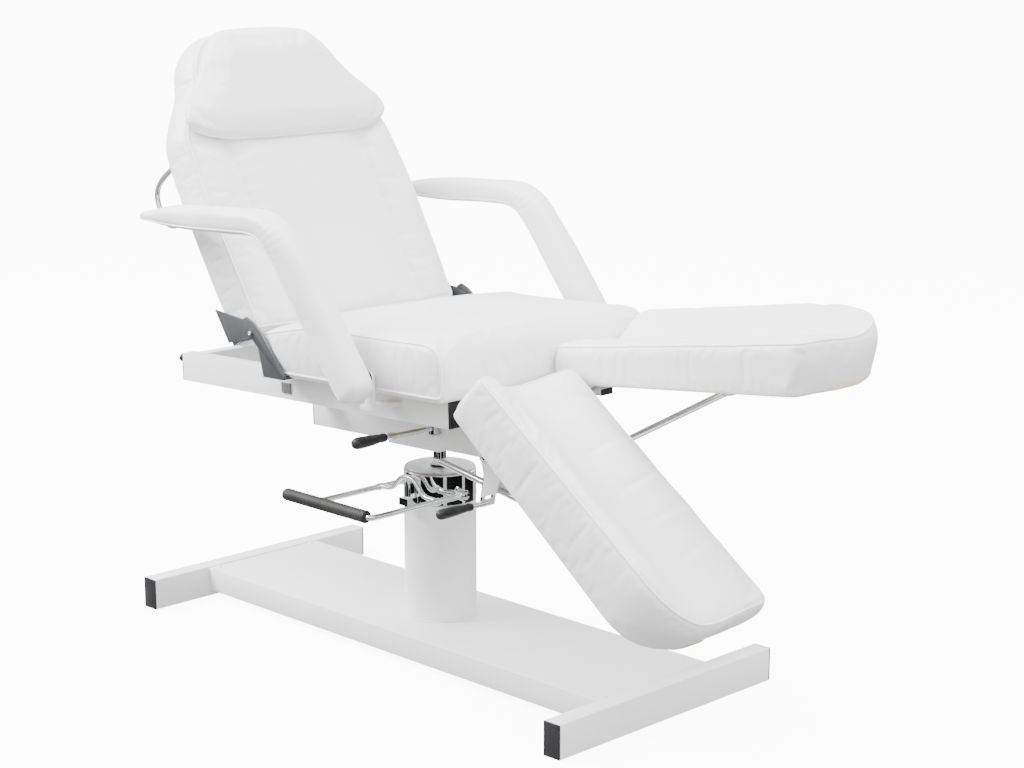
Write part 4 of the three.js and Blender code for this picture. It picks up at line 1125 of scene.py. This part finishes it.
def handles():
    for name, side in SIDES:
        y = -side * HANDLE_Y
        arc = [(HANDLE_MIDDLE + HANDLE_HALF * math.copysign(abs(math.cos(a)) ** 0.6, math.cos(a)), y,
                BACK_REAR - 2 - HANDLE_DEPTH * math.sin(a) ** 0.7) for a in np.linspace(0.02, math.pi - 0.02, 41)]
        ends = [(HANDLE_MIDDLE + HANDLE_HALF, y, BACK_REAR + 2), (HANDLE_MIDDLE - HANDLE_HALF, y, BACK_REAR + 2)]
        shapes = [sweep(resample([ends[0], *arc, ends[1]], 3, False), 5.2, 28)]
        for u, _, w in ends:
            shapes.append(spun((u, y, w - 1), (u, y, w - 7), [(0, 0), (0, 12), (2.5, 12), (5, 6.5), (6, 5)]))
        hard_piece(f"back_handle_rod_{name}", shapes, BACK, CHROME, "backrest", (f"back_handle_{name}",), 0)


def grip(name, start, end, radius, body, replaced):
    """A moulded lever grip: slim at its inner end, full at its outer end, with a shallow ring groove near its inner
    end.
    """
    length = (Vector(end) - Vector(start)).length
    profile = [(0, 0), (0, radius * 0.62), (1.5, radius * 0.74), (length * 0.12, radius * 0.74),
               (length * 0.16, radius * 0.68), (length * 0.22, radius * 0.74), (length * 0.45, radius * 0.9),
               (length * 0.72, radius), (length * 0.88, radius), (length * 0.96, radius * 0.8), (length, radius * 0.4),
               (length, 0)]
    hard_piece(name, [spun(start, end, profile, 1.0, 40)], UPPER, PLASTIC, body, (replaced,), 0)


LOCK_PIN = (293.4, 428.3)
RELEASE_ROD = (274, 341)
RELEASE_GRIP = (168, 250, 9.5)
BACK_LEVER = {"pivot": (-503, 500), "rod": (-514.5, 526), "inner": 30, "grip": (-138, -205, 8)}
SWIVEL = (76, -72, 440)


def levers():
    for name, side in SIDES:
        y = side * LEG_MIDDLE
        body = f"leg_release_{name}"
        (px, pz), (rx, rz) = LOCK_PIN, RELEASE_ROD
        y0, y1, radius = RELEASE_GRIP

        def strip(z_high, z_low, a, b):
            lean = (px - rx) / (pz - rz)
            high, low = px + (z_high - pz) * lean, px + (z_low - pz) * lean
            return slab([(high - 2.4, z_high), (high + 2.4, z_high), (low + 2.4, z_low), (low - 2.4, z_low)],
                        *sorted((y + a, y + b)))

        shapes = [spun((px, y - 17, pz), (px, y + 17, pz), [(0, 5.4), (0, 9), (34, 9), (34, 5.4)]),
                  strip(pz - 6, 402, -17, 17), strip(402, 348, -17, -9), strip(402, 348, 9, 17),
                  strip(348, rz - 6, -17, 17),
                  rod((rx, y, rz), (rx, side * (y0 + 3), rz), 5.2, 32)]
        hard_piece(f"leg_release_detail_{name}", shapes, UPPER, CHROME, body, (f"leg_release_{name}",), 0)
        grip(f"leg_release_handle_{name}", (rx, side * y0, rz), (rx, side * y1, rz), radius, body,
             f"leg_release_grip_{name}")
    (px, pz), (rx, rz) = BACK_LEVER["pivot"], BACK_LEVER["rod"]
    y0, y1, radius = BACK_LEVER["grip"]
    crank = [(px - 9, pz - 8), (px + 8, pz - 8), (px + 8, pz + 5), (rx + 6, rz + 4), (rx - 5, rz + 5), (rx - 5, rz - 5)]
    hard_piece("back_release_rod", [slab(crank, -50, -44), rod((rx, y0 - 3, rz), (rx, BACK_LEVER["inner"], rz), 5.2, 32)],
               UPPER, CHROME, "back_release", ("back_release_lever",), 0)
    grip("back_release_handle", (rx, y0, rz), (rx, y1, rz), radius, "back_release", "back_release_grip")
    x, y, z = SWIVEL
    shapes = [spun((x, y, z - 11), (x, y, z + 11), [(0, 4.4), (0, 9), (22, 9), (22, 4.4)]),
              sweep([(x, y - 6, z), (x, -150, z + 1.3), (x, -192, z + 2)], 5.2, 32),
              sweep([(x, -164, z + 1.6), (x, -167, z + 1.6), (x, -181, z + 1.9), (x, -186, z + 1.9)],
                    [5.2, 7, 7, 5.2], 28)]
    hard_piece("swivel_lock_rod", shapes, UPPER, CHROME, "swivel_lock", ("swivel_lock_lever",), 0)
    grip("swivel_lock_handle", (x, -189.6, z + 2), (x, -266, z + 2), 11, "swivel_lock", "swivel_lock_grip")


def bolt(name, place, centre, axis, radius, height, body, look=None):
    """A low round head with a small socket, standing on a face."""
    end = Vector(centre) + Vector(axis) * height
    profile = [(0, 0), (0, radius), (height * 0.55, radius), (height * 0.9, radius * 0.72), (height, radius * 0.45),
               (height * 0.55, radius * 0.4), (height * 0.55, 0)]
    hard_piece(name, [spun(centre, end, profile, 0.3, 32)], place, look or CHROME, body, edge=0)


def fasteners():
    for name, side in SIDES:
        out = (0, side, 0)
        bolt(f"hinge_bolt_{name}", UPPER, (BACK_PIVOT.x, side * 279, BACK_PIVOT.z), out, 3.8, 1.6, "frame")
        bolt(f"lock_bolt_outer_{name}", UPPER, (LOCK_PIN[0], side * (LEG_MIDDLE + 24.5), LOCK_PIN[1]), out, 8, 5,
             "frame")
        hard_piece(f"arm_collar_{name}", [spun((ARM_PIVOT.x, side * 277, ARM_PIVOT.z),
                                               (ARM_PIVOT.x, side * 287, ARM_PIVOT.z),
                                               [(0, 8.4), (0, 13), (10, 13), (10, 8.4)])],
                   UPPER, RUBBER, f"armrest_{name}", edge=0)
    for end, x in (("head", -560), ("foot", 560)):
        for number, y in enumerate((-120, 120)):
            bolt(f"base_bolt_{end}_{number}", BASE, (x - math.copysign(24, x), y, 59.4), (0, 0, 1), 6, 2.4, "base",
                 PAINT)


def build_hard_parts():
    for end in ("head", "foot"):
        refined(f"base_crossbar_{end}", PAINT, "base", 1.6)
        for name, _ in SIDES:
            refined(f"base_cap_{end}_{name}", PLASTIC, "base", 1.4)
    refined("base_deck", PAINT, "base", 1.4)
    column_and_pump()
    pump()
    pedal()
    struts()
    handles()
    levers()
    fasteners()
    for node, look, edge in (("mount_beam", PAINT, 0.9), ("mount_beam_cap", PLASTIC, 0.9),
                             ("cross_member_rear", PAINT, 1.2), ("cross_member_front", PAINT, 1.2),
                             ("frame_rear_bar", PAINT, 0.7), ("frame_front_bar", PAINT, 0.5),
                             ("seat_board", WOOD, 1.0)):
        refined(node, look, "frame", edge)
    for name, _ in SIDES:
        refined(f"rail_{name}", PAINT, "frame", 0.9)
        refined(f"rail_cap_front_{name}", PLASTIC, "frame", 0.9)
        refined(f"rail_cap_rear_{name}", PLASTIC, "frame", 0.9)
        refined(f"rail_plug_{name}", GREY, "frame", 0.4)
        refined(f"seat_hinge_plate_{name}", BLACK, "frame", 0.6)
        refined(f"leg_board_{name}", WOOD, f"leg_{name}", 1.0)
        refined(f"leg_bracket_{name}", STEEL, f"leg_{name}", 0.4)
    refined("back_frame", BLACK, "backrest", 0.5)
    refined("back_board", CLOTH, "backrest", 1.5)
    for node, look in LEFT_OVER.items():
        frame["nodes"][node].data.materials.clear()
        frame["nodes"][node].data.materials.append(look[0])


LEFT_OVER = {"pump_reservoir": STEEL, "armrest_core_near": CHROME, "armrest_core_far": CHROME}


# ---------- studio ----------
CAMERA_PLACE = (2.7365, -2.6638, 1.3387)
CAMERA_AZIMUTH = 45.18 * RAD
CAMERA_ELEVATION = 12.02 * RAD
CAMERA_LENS = 75.2


def camera():
    data = bpy.data.cameras.new("camera")
    data.lens = CAMERA_LENS
    data.sensor_width = 36
    data.clip_end = 200
    view = bpy.data.objects.new("camera", data)
    bpy.context.scene.collection.objects.link(view)
    a, e = CAMERA_AZIMUTH, CAMERA_ELEVATION
    backward = Vector((math.sin(a) * math.cos(e), -math.cos(a) * math.cos(e), math.sin(e)))
    right = Vector((math.cos(a), math.sin(a), 0))
    up = backward.cross(right)
    view.matrix_world = Matrix(((right.x, up.x, backward.x, CAMERA_PLACE[0]),
                                (right.y, up.y, backward.y, CAMERA_PLACE[1]),
                                (right.z, up.z, backward.z, CAMERA_PLACE[2]),
                                (0, 0, 0, 1)))
    bpy.context.scene.camera = view


def area_light(name, place, target, size, power):
    data = bpy.data.lights.new(name, "AREA")
    data.shape = "RECTANGLE"
    data.size, data.size_y = size
    data.energy = power
    lamp = bpy.data.objects.new(name, data)
    lamp.location = place
    lamp.rotation_euler = (Vector(target) - Vector(place)).to_track_quat("-Z", "Y").to_euler()
    bpy.context.scene.collection.objects.link(lamp)


WORLD_STRENGTH = 3.0
FLOOR_REACH = 70
FLOOR_GLOW = 9
FLAGS = ((0.95, -60, 12), (0.95, 22, 74), (1.0, 84, 128), (1.0, -128, -70))
FLAG_HEIGHTS = (0.02, 0.30)


def world_light():
    """A white sky that is darker near the horizon, which gives the chrome something to mirror."""
    world = bpy.data.worlds.new("studio")
    world.use_nodes = True
    nodes, links = world.node_tree.nodes, world.node_tree.links
    place = nodes.new("ShaderNodeTexCoord")
    split = nodes.new("ShaderNodeSeparateXYZ")
    ramp = nodes.new("ShaderNodeValToRGB")
    ramp.color_ramp.elements[0].position, ramp.color_ramp.elements[0].color = 0.0, (0.3, 0.3, 0.3, 1)
    ramp.color_ramp.elements[1].position, ramp.color_ramp.elements[1].color = 0.4, (1, 1, 1, 1)
    links.new(place.outputs["Generated"], split.inputs["Vector"])
    links.new(split.outputs["Z"], ramp.inputs["Fac"])
    links.new(ramp.outputs["Color"], nodes["Background"].inputs["Color"])
    nodes["Background"].inputs["Strength"].default_value = WORLD_STRENGTH
    bpy.context.scene.world = world


def flags():
    """Dark cards round the pump that only mirrors see, as a photographer sets them for chrome."""
    n = Nodes("black_flag")
    n.link(n.ramp(n.noise(3, 2), [(0.3, (0.004, 0.004, 0.004)), (0.7, (0.006, 0.006, 0.006))]),
           n.shader.inputs["Base Color"])
    n.set(Roughness=0.95, Specular_IOR_Level=0.0)
    for number, (reach, start, end) in enumerate(FLAGS):
        turns = np.radians(np.linspace(start, end, 18) - 45)
        vertices = [(COLUMN_X + reach * math.cos(a), reach * math.sin(a), z) for z in FLAG_HEIGHTS for a in turns]
        faces = [(i, i + 1, i + 19, i + 18) for i in range(17)]
        mesh = bpy.data.meshes.new(f"flag_{number}")
        mesh.from_pydata(vertices, [], faces)
        mesh.materials.append(n.material)
        flag = linked(f"flag_{number}", mesh)
        flag.visible_camera = False
        flag.visible_diffuse = False
        flag.visible_shadow = False


def studio():
    world_light()
    floor_mesh = bpy.data.meshes.new("floor")
    reach = FLOOR_REACH
    floor_mesh.from_pydata([(-reach, -reach, 0), (reach, -reach, 0), (reach, reach, 0), (-reach, reach, 0)], [],
                           [(0, 1, 2, 3)])
    floor = linked("floor", floor_mesh)
    n = Nodes("pale_floor")
    n.link(n.ramp(n.noise(0.8, 2), [(0.3, (0.93, 0.93, 0.93)), (0.7, (0.94, 0.94, 0.94))]),
           n.shader.inputs["Base Color"])
    n.set(Roughness=0.8, Specular_IOR_Level=0.0, Emission_Color=(1, 1, 1, 1), Emission_Strength=FLOOR_GLOW)
    floor_mesh.materials.append(n.material)
    floor.visible_diffuse = False
    floor.visible_glossy = False
    flags()
    area_light("key", (-2.4, -2.0, 3.0), (0, 0, 0.5), (1.8, 1.8), 420)
    area_light("top", (0.4, 0.6, 3.6), (0, 0, 0.5), (1.6, 1.6), 160)
    area_light("front", (3.4, 0.2, 1.6), (0, 0, 0.5), (1.2, 1.8), 60)


camera()
studio()
build_hard_parts()
seat_cushion()
back_cushion()
head_pillow()
for side_name, side_sign in SIDES:
    leg_cushion(side_name, side_sign)
    armrest(side_name, side_sign)
